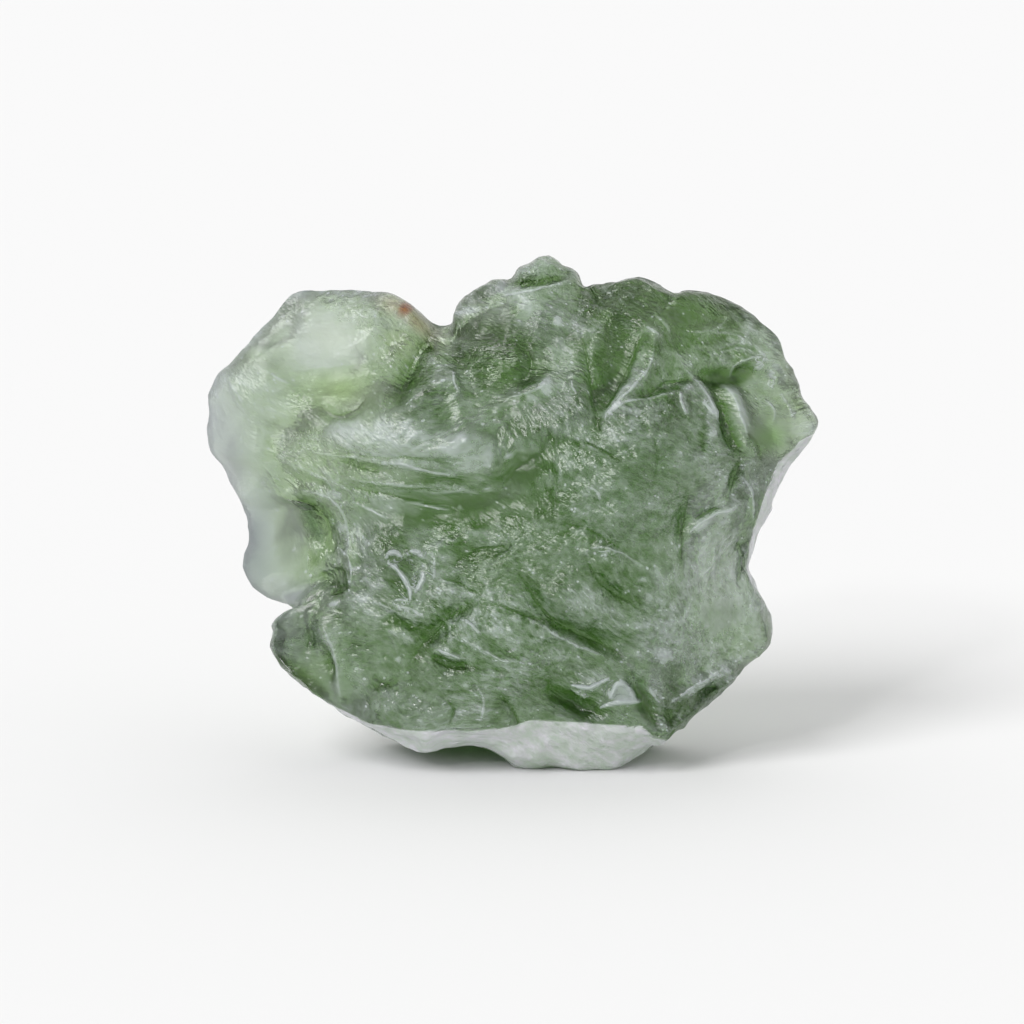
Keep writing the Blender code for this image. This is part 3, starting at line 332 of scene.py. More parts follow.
# Patches of skin that stand up frosted (plus) or lie lower and clear (minus): centre,
# radii, turn, how much. They are the pieces that the face breaks into, seen close. On the
# front the frosted ones also paint sheen and light where the face catches the lamps, and
# the clear ones paint shade in its creases and crevices.
FRONT_SKIN = (
    ((-7.7, 7.2), (1.4, 1.4), 0, 0.5), ((-7.3, 5), (1.5, 0.9), 10, -0.2),
    ((-9.6, 7.4), (0.9, 0.35), 0, -0.15), ((-5, 6.6), (0.6, 1.4), 15, -0.25),
    ((-4.3, 5.9), (0.35, 1.4), -28, -0.55), ((-5.5, 4.7), (0.5, 0.35), 0, -0.3),
    ((-9.2, 3.6), (1.2, 0.3), -8, -0.3), ((-10.15, 2.7), (0.28, 0.5), 0, -0.6),
    ((-9.6, 4.7), (1.2, 0.6), -15, 0.25), ((-10.8, 5.6), (0.8, 0.5), -30, 0.25),
    ((-8.7, 0.2), (0.75, 0.22), -25, -0.7), ((-7.95, -0.5), (0.22, 0.6), 20, -0.6),
    ((-8.35, -1.9), (0.22, 0.35), 15, -0.8), ((-7.2, -2.9), (0.4, 0.7), -20, -0.5),
    ((-9.6, -3.5), (0.9, 0.4), -15, 0.35), ((-8.6, 2.3), (1.6, 0.7), -15, 0.22),
    ((-4.4, 2.7), (3.2, 0.9), -8, 0.6), ((-2, 2.2), (1.3, 0.7), -12, 0.2),
    ((-6.2, 1.85), (0.9, 0.2), -8, -0.5), ((-3.5, 1.2), (1.6, 0.35), -5, -0.2),
    ((-1.2, 0.05), (3, 0.6), 4, -0.44), ((-4.2, -0.5), (1.2, 0.4), 8, -0.35),
    ((-5.3, 0.35), (0.5, 0.24), -25, 0.25), ((-7.4, 0.8), (0.28, 0.16), -20, 0.6),
    ((-9.1, 0.75), (0.4, 0.15), -20, 0.45), ((-6.3, -1.2), (0.5, 0.25), -35, 0.35),
    ((-7.1, -0.7), (0.25, 0.2), 0, 0.45), ((-7.9, 1.6), (0.7, 0.3), -30, 0.3),
    ((1, 10.35), (0.9, 0.3), 10, 0.25), ((1.2, 9.75), (1.2, 0.18), 3, -0.55),
    ((0.3, 9), (1, 0.45), -30, 0.45), ((0.5, 8.4), (0.3, 0.6), -10, 0.3),
    ((-1.8, 8.45), (0.45, 0.14), 12, 0.75), ((-2.1, 7.6), (0.9, 0.35), -5, -0.4),
    ((-0.6, 6.5), (1.9, 1.3), -10, -0.75), ((0.7, 5.8), (0.5, 0.6), 0, -0.55),
    ((1.9, 8), (0.18, 0.24), 0, 0.9), ((3.1, 7.8), (0.6, 0.35), -25, 0.4),
    ((2.1, 6.3), (0.7, 1.1), -10, 0.22), ((1.4, 5.2), (0.28, 0.3), 0, 0.6),
    ((0.9, 4.7), (0.25, 0.15), 0, 0.5), ((-2.9, 6.3), (0.45, 0.6), -15, 0.4),
    ((-3.6, 7.2), (0.5, 0.4), 0, -0.45), ((2.4, 7.2), (0.9, 0.25), -35, -0.3),
    ((4.25, 6.3), (0.7, 1), -18, -0.5), ((3.8, 4.9), (0.36, 0.9), -8, -0.6),
    ((3.5, 3.9), (0.18, 0.7), 4, -0.55), ((5, 5.8), (0.22, 1.3), -28, 0.35),
    ((4.6, 7.6), (0.5, 0.9), 0, -0.25), ((5.2, 3.3), (1.2, 1), -20, 0.22),
    ((5.9, 4.9), (0.9, 0.3), 15, -0.35), ((5.7, 7.5), (0.35, 0.22), -25, 0.5),
    ((0.6, 2.7), (0.6, 0.3), -20, 0.35), ((-0.1, 2.3), (0.22, 0.12), 15, 0.9),
    ((0.6, 2.15), (0.2, 0.1), -20, 0.6), ((0.9, 1.7), (1, 0.5), 38, -0.45),
    ((-1, 0.92), (0.14, 0.08), 0, 0.9), ((-2.2, 0.17), (0.1, 0.08), 0, 0.9),
    ((3.2, 2.3), (0.8, 0.18), -28, -0.35), ((2.2, 2.9), (0.7, 0.2), -15, -0.35),
    ((9.1, 5.75), (1.35, 0.3), 3, -0.75), ((9.6, 6.35), (0.6, 0.4), -20, -0.6),
    ((9.7, 5.3), (0.22, 0.5), 20, -0.5), ((8.75, 4.7), (0.2, 1), 14, -0.7), ((9.3, 3), (0.22, 1), 24, -0.6),
    ((9.4, 4.6), (0.2, 0.8), 25, 0.4), ((8.35, 4.2), (0.35, 0.18), -50, 0.6),
    ((7.15, 4.5), (0.15, 0.5), 5, 0.35), ((8.3, 3.2), (0.17, 0.35), -10, 0.45),
    ((7.95, 3.3), (0.16, 0.5), 0, -0.6), ((7.3, 5.2), (0.2, 0.14), 0, 0.8),
    ((9.65, 7.1), (0.16, 0.09), -40, 0.8), ((7.8, 7.5), (1.3, 0.5), 5, -0.3),
    ((6.8, 8.3), (2.8, 1.5), -12, -0.65), ((4, 8.9), (1.8, 0.8), -5, -0.45),
    ((10.6, 3.05), (0.6, 0.6), 0, -0.3), ((11.5, 4.6), (0.6, 0.6), -30, -0.3),
    ((11.75, 4.3), (0.12, 0.45), 12, 0.5), ((12.3, 3.5), (0.5, 0.3), 30, 0.3),
    ((8.2, 1.8), (0.8, 0.4), -25, 0.3), ((7.4, 1.6), (1.1, 1.2), 0, 0.13),
    ((9.3, 1.5), (0.18, 0.5), -22, -0.6), ((9.95, 1.1), (0.3, 0.35), 0, 0.45),
    ((8.7, 0.4), (0.25, 0.2), 0, 0.45), ((9.4, 0.3), (0.3, 0.25), 0, 0.45),
    ((7.1, -0.6), (0.16, 1.2), 3, -0.3), ((7.8, -0.6), (0.5, 0.14), 38, 0.6),
    ((8.4, -1.5), (1, 1.5), 0, 0.3), ((9.6, -1.2), (0.3, 0.3), 0, -0.5),
    ((8.8, -2.6), (0.6, 0.25), -20, 0.45), ((5.45, -2.8), (0.22, 0.12), 10, 0.8),
    ((6.3, -1.8), (0.6, 0.8), 0, 0.1), ((3.9, -1.95), (0.22, 0.1), 10, 0.6),
    ((3.9, -2.3), (0.25, 0.14), 0, -0.5), ((4.4, -3.3), (1.4, 0.28), -38, -0.4),
    ((3.5, -4.1), (1.4, 0.6), -30, 0.26), ((0.9, -3.2), (0.22, 0.8), 30, -0.35),
    ((1.8, -4.7), (0.6, 0.2), -22, -0.5), ((3.5, -5.5), (0.9, 0.16), -26, -0.4),
    ((2.3, -6.1), (1, 0.32), -15, 0.3), ((-1.1, -1.05), (0.75, 0.28), -12, 0.45),
    ((-1.5, -1.7), (1, 0.18), -5, -0.45), ((-2.5, -3.1), (0.9, 0.4), -30, 0.28),
    ((-2.4, -4.1), (0.9, 0.25), 22, -0.4), ((0.4, -4), (0.8, 0.2), -20, 0.35),
    ((-1, -4.8), (1.1, 0.4), -25, 0.22), ((-0.6, -5.6), (0.9, 0.22), -25, -0.3),
    ((-2.7, -5.85), (0.5, 0.16), -20, 0.55), ((-2.7, -6.3), (0.7, 0.18), -20, -0.55),
    ((-3.9, -5.8), (0.3, 0.8), -30, -0.4), ((-1, -6.9), (0.3, 0.28), 0, 0.45),
    ((-1.9, -7.2), (0.16, 0.12), 0, 0.6), ((2.6, -7.9), (1.2, 0.32), -20, -1),
    ((3.5, -6.75), (0.6, 0.32), 12, 0.45), ((4.55, -7.6), (0.45, 0.28), 0, 0.9),
    ((2.9, -7.55), (0.35, 0.12), -30, 0.6), ((5.6, -8.1), (0.28, 0.8), 24, -0.45),
    ((6, -7.2), (0.28, 0.7), 12, 0.35), ((6.4, -6), (0.24, 0.3), 0, 0.75),
    ((8, -7.15), (1.4, 0.14), 28, 0.45), ((7.6, -7.9), (0.8, 0.2), 38, -0.45),
    ((8.35, -7.55), (0.22, 0.12), 30, -0.8), ((9.2, -4), (0.3, 0.22), -20, -0.25),
    ((10.5, -5.5), (0.5, 0.5), 0, -0.1), ((9.2, -5.3), (0.9, 0.25), -10, -0.2),
    ((6, -4.8), (1.3, 0.9), -30, 0.24), ((-5, -1.2), (0.9, 0.25), 10, -0.3),
    ((-4.75, -3), (0.28, 0.65), 25, -0.4), ((-4.35, -2.3), (0.45, 0.45), 0, -0.4),
    ((-5.5, -2.9), (0.7, 0.5), 0, 0.18), ((-6.5, -6.1), (0.8, 0.7), -20, 0.18),
    ((-4.6, -4.8), (1.1, 0.2), -12, -0.45), ((-4.75, -6.15), (0.14, 0.09), -20, 0.9),
    ((-4.4, -5.2), (0.3, 0.2), -30, 0.45), ((-7.35, -6), (0.2, 0.9), 14, 0.12),
    ((-7.7, -6.4), (0.13, 0.7), 16, -0.8), ((-8.5, -5.3), (0.15, 0.36), 10, -0.8),
    ((-9.4, -6.5), (0.6, 0.25), -42, -0.8), ((-8.5, -7.2), (0.8, 0.3), -33, -0.35),
    ((-5.4, -7.2), (0.8, 0.2), 20, -0.45), ((-6.5, -7.8), (0.6, 0.22), 5, -0.4),
    ((-5, -7.9), (0.7, 0.4), 0, 0.18), ((-6.2, -5.5), (0.7, 0.1), -8, -0.5),
    ((-9.7, -4.7), (0.2, 0.15), -40, -0.7), ((-6.3, -3.6), (0.25, 0.18), 0, 0.45),
    ((-7.4, -3.8), (0.2, 0.12), 10, 0.6), ((-0.6, -8.2), (0.25, 0.6), -20, -0.35),
    ((8.4, -3.8), (2, 3), 0, 0.46), ((10.3, 4.4), (0.5, 0.9), 20, -0.35),
    ((4.8, 0.4), (2.4, 1.4), -20, 0.1), ((-9.6, -0.9), (1, 1.6), 0, -0.12),
)
BACK_SKIN = (
    ((-7, 5.6), (1.3, 0.8), -20, 0.3), ((-2.4, 5.6), (0.9, 0.4), 15, 0.4),
    ((0.6, 3.2), (1.2, 0.5), -30, -0.5), ((3.6, 6.6), (0.7, 0.9), 10, 0.3),
    ((6.2, 3.6), (1.4, 0.5), 30, -0.45), ((8.6, 1.2), (0.6, 1.3), -10, 0.3),
    ((2, -0.6), (1.5, 0.6), -25, 0.3), ((-3.8, 0.6), (1.1, 0.5), 20, 0.35),
    ((-5.9, -3.4), (1.2, 0.5), -35, -0.45), ((-0.6, -5.2), (1.3, 0.4), 18, -0.4),
    ((4.4, -4.4), (1.2, 0.6), -20, 0.3), ((7.2, -6), (0.9, 0.4), 35, -0.4),
    ((-7.6, -0.4), (0.4, 1.2), 10, -0.4), ((5.6, 8.4), (0.9, 0.3), -12, 0.4),
    ((-0.4, 8.6), (0.5, 0.3), 0, -0.4), ((-5.4, -6.6), (0.8, 0.3), -20, 0.4),
    ((10.4, 4.4), (0.5, 0.3), -30, 0.4), ((1.6, -7.6), (1.1, 0.4), -8, 0.3),
)
SKIN_LIFT = 0.06       # millimetres that a fully frosted patch stands up
# How much each form counts for the frost and its painted sheen: raised and sunk skin, nicks,
# coarse and fine bowls.
RAISED, SUNK, NICKED, COARSE, FINE = 0.85, 0.70, 0.7, 0.16, 0.10


def smooth_curve(points, steps, closed):
    """A centripetal Catmull-Rom curve: it passes through every point without looping."""
    p = np.array(points, float)
    if closed:
        p = np.vstack([p[-1:], p, p[:2]])
    else:
        p = np.vstack([2 * p[:1] - p[1:2], p, 2 * p[-1:] - p[-2:-1]])
    p0, p1, p2, p3 = p[:-3, None], p[1:-2, None], p[2:-1, None], p[3:, None]
    gap = np.sqrt(np.linalg.norm(np.diff(p, axis=0), axis=1))[:, None, None]
    k0, k1, k2 = gap[:-2], gap[1:-1], gap[2:]
    leave = k1 * ((p1 - p0) / k0 - (p2 - p0) / (k0 + k1) + (p2 - p1) / k1)
    reach = k1 * ((p2 - p1) / k1 - (p3 - p1) / (k1 + k2) + (p3 - p2) / k2)
    t = np.linspace(0, 1, steps, endpoint=False)[None, :, None]
    curve = (2 * t**3 - 3 * t**2 + 1) * p1 + (t**3 - 2 * t**2 + t) * leave
    curve = curve + (3 * t**2 - 2 * t**3) * p2 + (t**3 - t**2) * reach
    curve = curve.reshape(-1, 2)
    return curve if closed else np.vstack([curve, p[-2]])


def outline_at(turn):
    """The outline's point for each turn, spaced half by its length and half by direction."""
    rim = smooth_curve(OUTLINE, 16, closed=True)
    rim = np.vstack([rim, rim[:1]])
    length = np.concatenate([[0], np.cumsum(np.linalg.norm(np.diff(rim, axis=0), axis=1))])
    heading = np.unwrap(np.arctan2(rim[:, 1], rim[:, 0]))
    share = length / length[-1] + (heading - heading[0]) / math.tau
    turn = (turn - heading[0]) / math.tau % 1.0
    return np.stack([np.interp(turn, share / 2, rim[:, axis]) for axis in (0, 1)], axis=-1)


def around(direction, pairs):
    """Blend values that are given at directions round the rim, easing into each."""
    degrees = np.degrees(direction) % 360
    keys = np.array(pairs + ((pairs[0][0] + 360, pairs[0][1]),), float)
    degrees = np.where(degrees < keys[0, 0], degrees + 360, degrees)
    place = np.interp(degrees, keys[:, 0], np.arange(len(keys)))
    before = np.minimum(place.astype(int), len(keys) - 2)
    t = place - before
    t = t * t * (3 - 2 * t)
    return keys[before, 1] * (1 - t) + keys[before + 1, 1] * t


def heights_at(a, b, places):
    """Each place pulls its neighbourhood to its own height, less the farther away."""
    spots = np.array(places)
    away = (a[..., None] - spots[:, 0]) ** 2 + (b[..., None] - spots[:, 1]) ** 2
    pull = np.exp(-away / (2 * BLEND**2)) + 1e-6
    return (pull * spots[:, 2]).sum(-1) / pull.sum(-1)


def mound(a, b, centre, radii, turn, height):
    """A bell-shaped swelling or hollow on an ellipse."""
    c, s = math.cos(math.radians(turn)), math.sin(math.radians(turn))
    da, db = a - centre[0], b - centre[1]
    along = (da * c + db * s) / radii[0]
    across = (db * c - da * s) / radii[1]
    return height * np.exp(-(along**2 + across**2))


def near_line(a, b, points, reach):
    """Which places are within reach of a curve, how far off it each of them is, with a sign
    for the side, and how far along it, from 0 to 1."""
    curve = smooth_curve(points, 6, closed=False)
    start, step = curve[:-1], np.diff(curve, axis=0)
    low, high = curve.min(0) - reach, curve.max(0) + reach
    near = (a > low[0]) & (a < high[0]) & (b > low[1]) & (b < high[1])
    da, db = a[near][:, None] - start[:, 0], b[near][:, None] - start[:, 1]
    t = np.clip((da * step[:, 0] + db * step[:, 1]) / (step**2).sum(1), 0, 1)
    away = np.hypot(da - t * step[:, 0], db - t * step[:, 1])
    away = away * np.where(step[:, 0] * db < step[:, 1] * da, -1, 1)
    nearest = np.abs(away).argmin(-1)[:, None]
    along = np.take_along_axis(t + np.arange(len(step)), nearest, -1)[:, 0] / len(step)
    return near, np.take_along_axis(away, nearest, -1)[:, 0], along


def patch(a, b, wobble, centre, radii, turn, amount):
    """A patch with a fairly crisp, uneven edge: full inside an ellipse, nothing outside."""
    c, s = math.cos(math.radians(turn)), math.sin(math.radians(turn))
    da, db = a - centre[0], b - centre[1]
    r = np.hypot((da * c + db * s) / radii[0], (db * c - da * s) / radii[1]) + wobble
    share = np.clip((1.45 - r) / 0.8, 0, 1)
    return amount * share * share * (3 - 2 * share)


def line_form(a, b, points, half_width, height, sharpness=2.0):
    """A furrow or ridge: bell-shaped across its curve, fading out towards both ends. With
    a sharpness near 1 it comes to an edge along its middle."""
    near, away, along = near_line(a, b, points, 3 * half_width)
    fade = np.clip(np.sin(np.pi * (0.08 + 0.84 * along)), 0, 1) ** 0.6
    form = np.zeros(a.shape)
    form[near] = height * fade * np.exp(-((np.abs(away) / half_width) ** sharpness))
    return form


def crisp_lines(a, b, lines):
    """For a line drawn finer than the mesh: how far each corner is off the line that matters
    most there, with a sign for the side, and how bright its painted highlight is (a furrow:
    how dark its painted shade is)."""
    off, bright = np.full(a.shape, OFF_ALL_LINES), np.zeros(a.shape)
    most = np.full(a.shape, LINE_LEAST)
    for points, half_width, height in lines:
        near, away, along = near_line(a, b, points, LINE_REACH)
        fade = np.clip(np.sin(np.pi * along), 0, 1) ** LINE_ENDS
        strength = fade * np.clip(height / LINE_HEIGHT, -1, LINE_MOST)
        strength = strength * min(1, LINE_FINE / half_width)
        away = away / np.maximum(strength, 1)
        weight = np.abs(strength) * np.exp(-((away / (LINE_REACH / 3)) ** 2))
        chosen = weight > most[near]
        here = np.flatnonzero(near)[chosen]
        off[here], bright[here], most[here] = away[chosen], strength[chosen], weight[chosen]
    return off, bright


def scatter(cell, salt):
    """Three numbers from 0 to 1 for each whole-numbered cell, always the same ones."""
    x, y, z = (cell[..., axis].astype(np.uint32) for axis in range(3))
    mix = x * np.uint32(73856093) ^ y * np.uint32(19349663) ^ z * np.uint32(83492791)
    spots = []
    for turn in range(3):
        mix = mix ^ np.uint32(salt + 7919 * turn)
        mix = (mix ^ (mix >> np.uint32(15))) * np.uint32(2246822519)
        mix = (mix ^ (mix >> np.uint32(13))) * np.uint32(3266489917)
        mix = mix ^ (mix >> np.uint32(16))
        spots.append(mix / 4294967296.0)
    return np.stack(spots, axis=-1)


def etched_bowls(place, width, salt):
    """Squared distance to the nearest of scattered points, 1 at most: bowls with crests
    between them."""
    place = place / width
    home = np.floor(place).astype(np.int64)
    nearest = np.ones(place.shape[:-1])
    for step in itertools.product((-1, 0, 1), repeat=3):
        cell = home + np.array(step)
        spot = cell + scatter(cell, salt)
        nearest = np.minimum(nearest, ((place - spot) ** 2).sum(-1))
    return nearest


def drift(place, width, salt):
    """A soft wander from -1 to 1: scattered values, eased into each other over a width."""
    place = place / width
    home = np.floor(place).astype(np.int64)
    t = place - home
    t = t * t * (3 - 2 * t)
    total = np.zeros(place.shape[:-1])
    for step in itertools.product((0, 1), repeat=3):
        share = np.prod(np.where(np.array(step) == 1, t, 1 - t), axis=-1)
        total = total + share * scatter(home + np.array(step), salt)[..., 0]
    return 2 * total - 1


def sheet(u, v, front):
    """The place of each grid point (u, v, each -1 to 1) on the front or the back sheet.

    Rings of the square grid become rings of the outline. Inside the shoulder they carry
    the face's heights, outside it they run over the rounded or chamfered edge to the rim.
    """
    ring = np.maximum(np.abs(u), np.abs(v))
    wide = np.abs(u) >= np.abs(v)
    safe_u = np.where(u == 0, 1, u)
    safe_v = np.where(v == 0, 1, v)
    turn = np.where(wide, math.pi / 4 * v / safe_u, math.pi / 2 - math.pi / 4 * u / safe_v)
    turn = turn + np.where(np.where(wide, u, v) < 0, math.pi, 0)
    rim = outline_at(turn)
    reach = np.hypot(rim[..., 0], rim[..., 1])
    heading = np.arctan2(rim[..., 1], rim[..., 0])
    side = 1 if front else -1
    inset = around(heading, FRONT_INSET if front else BACK_INSET)
    shoulder = side * around(heading, FRONT_LEVEL if front else BACK_LEVEL)
    roundness = around(heading, FRONT_ROUND if front else BACK_ROUND)
    edge = around(heading, EDGE_LEVEL)
    for waves, height, start in RIM_WANDER:
        edge = edge + height * np.sin(waves * heading + start)

    inner = np.clip(ring / SHOULDER, 0, 1)
    outer = np.clip((ring - SHOULDER) / (1 - SHOULDER), 0, 1) * math.pi / 2
    radius = np.where(outer > 0, reach - inset * (1 - np.sin(outer) ** (2 / roundness)),
                      inner * (reach - inset))
    a, b = rim[..., 0] * radius / reach, rim[..., 1] * radius / reach

    relief = side * heights_at(a, b, FRONT_HEIGHTS if front else BACK_HEIGHTS)
    for form in FRONT_MOUNDS if front else BACK_MOUNDS:
        relief = relief + side * mound(a, b, *form)
    for form in FRONT_LINES if front else BACK_LINES:
        relief = relief + side * line_form(a, b, *form)
    hold = inner**7
    face = relief * (1 - hold) + shoulder * hold
    fall = np.clip(np.cos(outer), 0, 1) ** (2 / roundness)
    c = np.where(outer > 0, edge + (shoulder - edge) * fall, face)

    place = np.stack([a, b, c], axis=-1)
    out = np.stack([np.cos(heading) * np.sin(outer), np.sin(heading) * np.sin(outer),
                    side * np.cos(outer)], axis=-1)
    bowls = sum(depth * (etched_bowls(place, width, salt) - ETCHED_LEVEL)
                for width, depth, salt in ETCHED_BOWLS)
    return place + out * bowls[..., None]


def grid_faces(count):
    """Both sheets' four-cornered faces. They share the rim, so the back has corners of its
    own only inside it, which follow the front's in the list."""
    line = np.arange(count + 1)
    front = line[:, None] * (count + 1) + line[None, :]
    back = front.copy()
    inside = np.arange((count - 1) ** 2).reshape(count - 1, count - 1)
    back[1:-1, 1:-1] = (count + 1) ** 2 + inside
    faces = []
    for grid, order in ((front, (0, 1, 2, 3)), (back, (3, 2, 1, 0))):
        corners = (grid[:-1, :-1], grid[1:, :-1], grid[1:, 1:], grid[:-1, 1:])
        faces.append(np.stack([corners[k] for k in order], axis=-1).reshape(-1, 4))
    return np.concatenate(faces)


def outward(place, faces):
    """Each corner's direction out of the surface: the mean of its faces' own directions."""
    diagonal = place[faces[:, 2]] - place[faces[:, 0]]
    other = place[faces[:, 3]] - place[faces[:, 1]]
    facing = np.cross(diagonal, other)
    total = np.zeros_like(place)
    for corner in range(4):
        for axis in range(3):
            total[:, axis] += np.bincount(faces[:, corner], facing[:, axis], len(place))
    return total / np.maximum(np.linalg.norm(total, axis=1, keepdims=True), 1e-12)


def along_flow(place):
    """Each place in the glass's own flow, in millimetres: how far along it, shortened by the
    stretch, how far across it, and out. The place wanders a little first, so the flow's
    lines bend."""
    far, width, salts = FLOW_BEND
    bent = place + far * np.stack([drift(place, width, salt) for salt in salts], axis=-1)
    c, s = math.cos(math.radians(FLOW_TURN)), math.sin(math.radians(FLOW_TURN))
    along = bent[:, 0] * c + bent[:, 1] * s
    across = bent[:, 1] * c - bent[:, 0] * s
    return np.stack([along / FLOW_STRETCH, across, bent[:, 2]], axis=-1)


def stone_shape():
    """Both sheets with their nicks and fine etching, and for each corner: how far it stands
    proud, how etched it is, how near the rim, where in the flow, and whether in front."""
    line = np.linspace(-1, 1, CELLS + 1)
    u, v = np.meshgrid(line, line, indexing="ij")
    inside = (slice(1, -1), slice(1, -1))
    front = sheet(u, v, front=True).reshape(-1, 3)
    back = sheet(u[inside], v[inside], front=False).reshape(-1, 3)
    ring = np.maximum(np.abs(u), np.abs(v))
    ring = np.concatenate([ring.ravel(), ring[inside].ravel()])
    faces = grid_faces(CELLS)
    place = np.concatenate([front, back])
    is_front = np.arange(len(place)) < len(front)
    out = outward(place, faces)

    nicks, smooth, skin = np.zeros((3, len(place)))
    much, width, salt = PATCH_DRIFT
    wobble = much * drift(place, width, salt)
    for side, lines, hollows, patches in ((is_front, FRONT_NICKS, FRONT_SMOOTH, FRONT_SKIN),
                                          (~is_front, BACK_NICKS, BACK_SMOOTH, BACK_SKIN)):
        a, b = place[side, :2].T
        for form in lines:
            nicks[side] += NICK_GAIN * line_form(a, b, *form, NICK_EDGE)
        for form in hollows:
            smooth[side] = np.maximum(smooth[side], mound(a, b, *form))
        for form in patches:
            skin[side] += patch(a, b, wobble[side], *form)
    nicks = np.minimum(nicks, NICK_TOP)
    at_rim = np.clip((ring - RIM_START) / RIM_WIDTH, 0, 1)
    much, width, salt = ROUGH_DRIFT
    rough = (1 - smooth) * (1 + much * drift(place, width, salt))
    etched = rough * (1 - RIM_LOSS * at_rim)

    flow = along_flow(place)
    width, salts = MARK_WANDER
    wander = np.stack([drift(place, width, salt) for salt in salts], axis=-1)
    (wide, deep, salt), (narrow, shallow, other) = FINE_BOWLS
    coarse = etched_bowls(flow + BOWL_WANDER * wander, wide, salt) - FINE_LEVEL
    fine = etched_bowls(flow + BOWL_WANDER * wander, narrow, other) - FINE_LEVEL
    lift = nicks + SKIN_LIFT * skin + etched * (deep * coarse + shallow * fine)
    proud = np.where(skin > 0, RAISED, SUNK) * skin + NICKED * nicks
    proud = proud + etched * (COARSE * coarse + FINE * fine)
    place = place + out * lift[:, None]
    return place, faces, proud, rough, at_rim, flow + PIT_WANDER * wander, is_front


def stand_up(place):
    """Lean the face back, bring the foot's plane to z = 0 and flatten what is below it."""
    lean = math.radians(LEAN)
    foot = FOOT_B * math.cos(lean) + FOOT_C * math.sin(lean)
    a, b, c = place.T
    y = b * math.sin(lean) - c * math.cos(lean) + SET_BACK
    z = b * math.cos(lean) + c * math.sin(lean) - foot
    return np.stack([a, y, np.maximum(z, 0)], axis=-1) * MM


def linear(code):
    """An sRGB hex colour as the linear red, green and blue that the shader takes."""
    value = np.array([int(code[k:k + 2], 16) for k in (1, 3, 5)]) / 255
    return np.where(value <= 0.04045, value / 12.92, ((value + 0.055) / 1.055) ** 2.4)


# Where the glass looks deeper, or less deep, than it is thick: centre, radii, turn, how much.
DEEP_AREAS = (
    ((1.4, 10.2), (2, 1.2), 0, 2.6), ((6, 8.6), (4.5, 1.6), -8, 1.6), ((9.4, 6.4), (2.2, 1.6), -30, 1.4),
    ((-9.6, -5.2), (1.2, 1.4), 0, 2.6), ((-5.6, 2.2), (3.8, 1.6), -8, -3.2),
    ((-7.2, -0.6), (1.8, 1.4), 0, -1.4),
)
# The bevels, with a painted reflection of the white floor on them: below a line across the
# foot, and right of one down from the tip. Each ends over some millimetres: the foot's near
# this a, the tip's above this b.
FOOT_BEVEL = (
    (-8.8, -8.2), (-7.7, -8), (-6, -8.8), (-3.9, -9.1), (-1.8, -9.1), (-0.3, -9), (0.8, -8.65),
    (2.9, -8.75), (5.4, -8.9), (6, -9.45), (7, -9.6),
)
TIP_BEVEL = (
    (11.6, -4.6), (10.4, -3.6), (9.8, -2.6), (10.05, -0.8), (10.45, 0.45), (11.1, 2), (12.1, 3),
    (13.2, 3.6),
)
FOOT_BEVEL_END, FOOT_BEVEL_FADE = 7.6, 0.8
TIP_BEVEL_END, TIP_BEVEL_FADE = -4.6, 2.6
BEVEL_EDGE = 0.05      # millimetres over which the painted reflection begins
BEVEL_BEHIND, BEVEL_FADE = 2.6, 3.0  # how far behind the outline it is gone, and over what
BEVEL_DRIFT = (0.3, 1.3, 97)
BACK_SOFT = 0.08       # on the back it begins this much more gently
BACK_DIM = 0.4         # and its lines' painted highlights and shade are this strong there
EDGE_DRIFT = (0.05, 0.45, (93, 95))  # how far lines and bevels wander, over what distance
# The frost veil, partly real frost and partly painted sheen: its usual level, what standing
# proud adds, its drifts, and more on the left rim, where it paints light.
FROST_USUAL, PROUD_FROST_AND_SHEEN = 0.40, 0.8
FROST_DRIFTS = ((0.19, 1.7, 91), (0.12, 0.7, 92))
LEFT_RIM, LEFT_RIM_START, LEFT_RIM_WIDTH = 0.35, -3, 2
FROST_LEAST, FROST_MOST = -0.6, 1.5  # below none the glass only looks deeper: painted shade where clear patches lie low
THICK, THICK_TO_THIN = 5.8, 2.5      # millimetres through the stone that look deep green
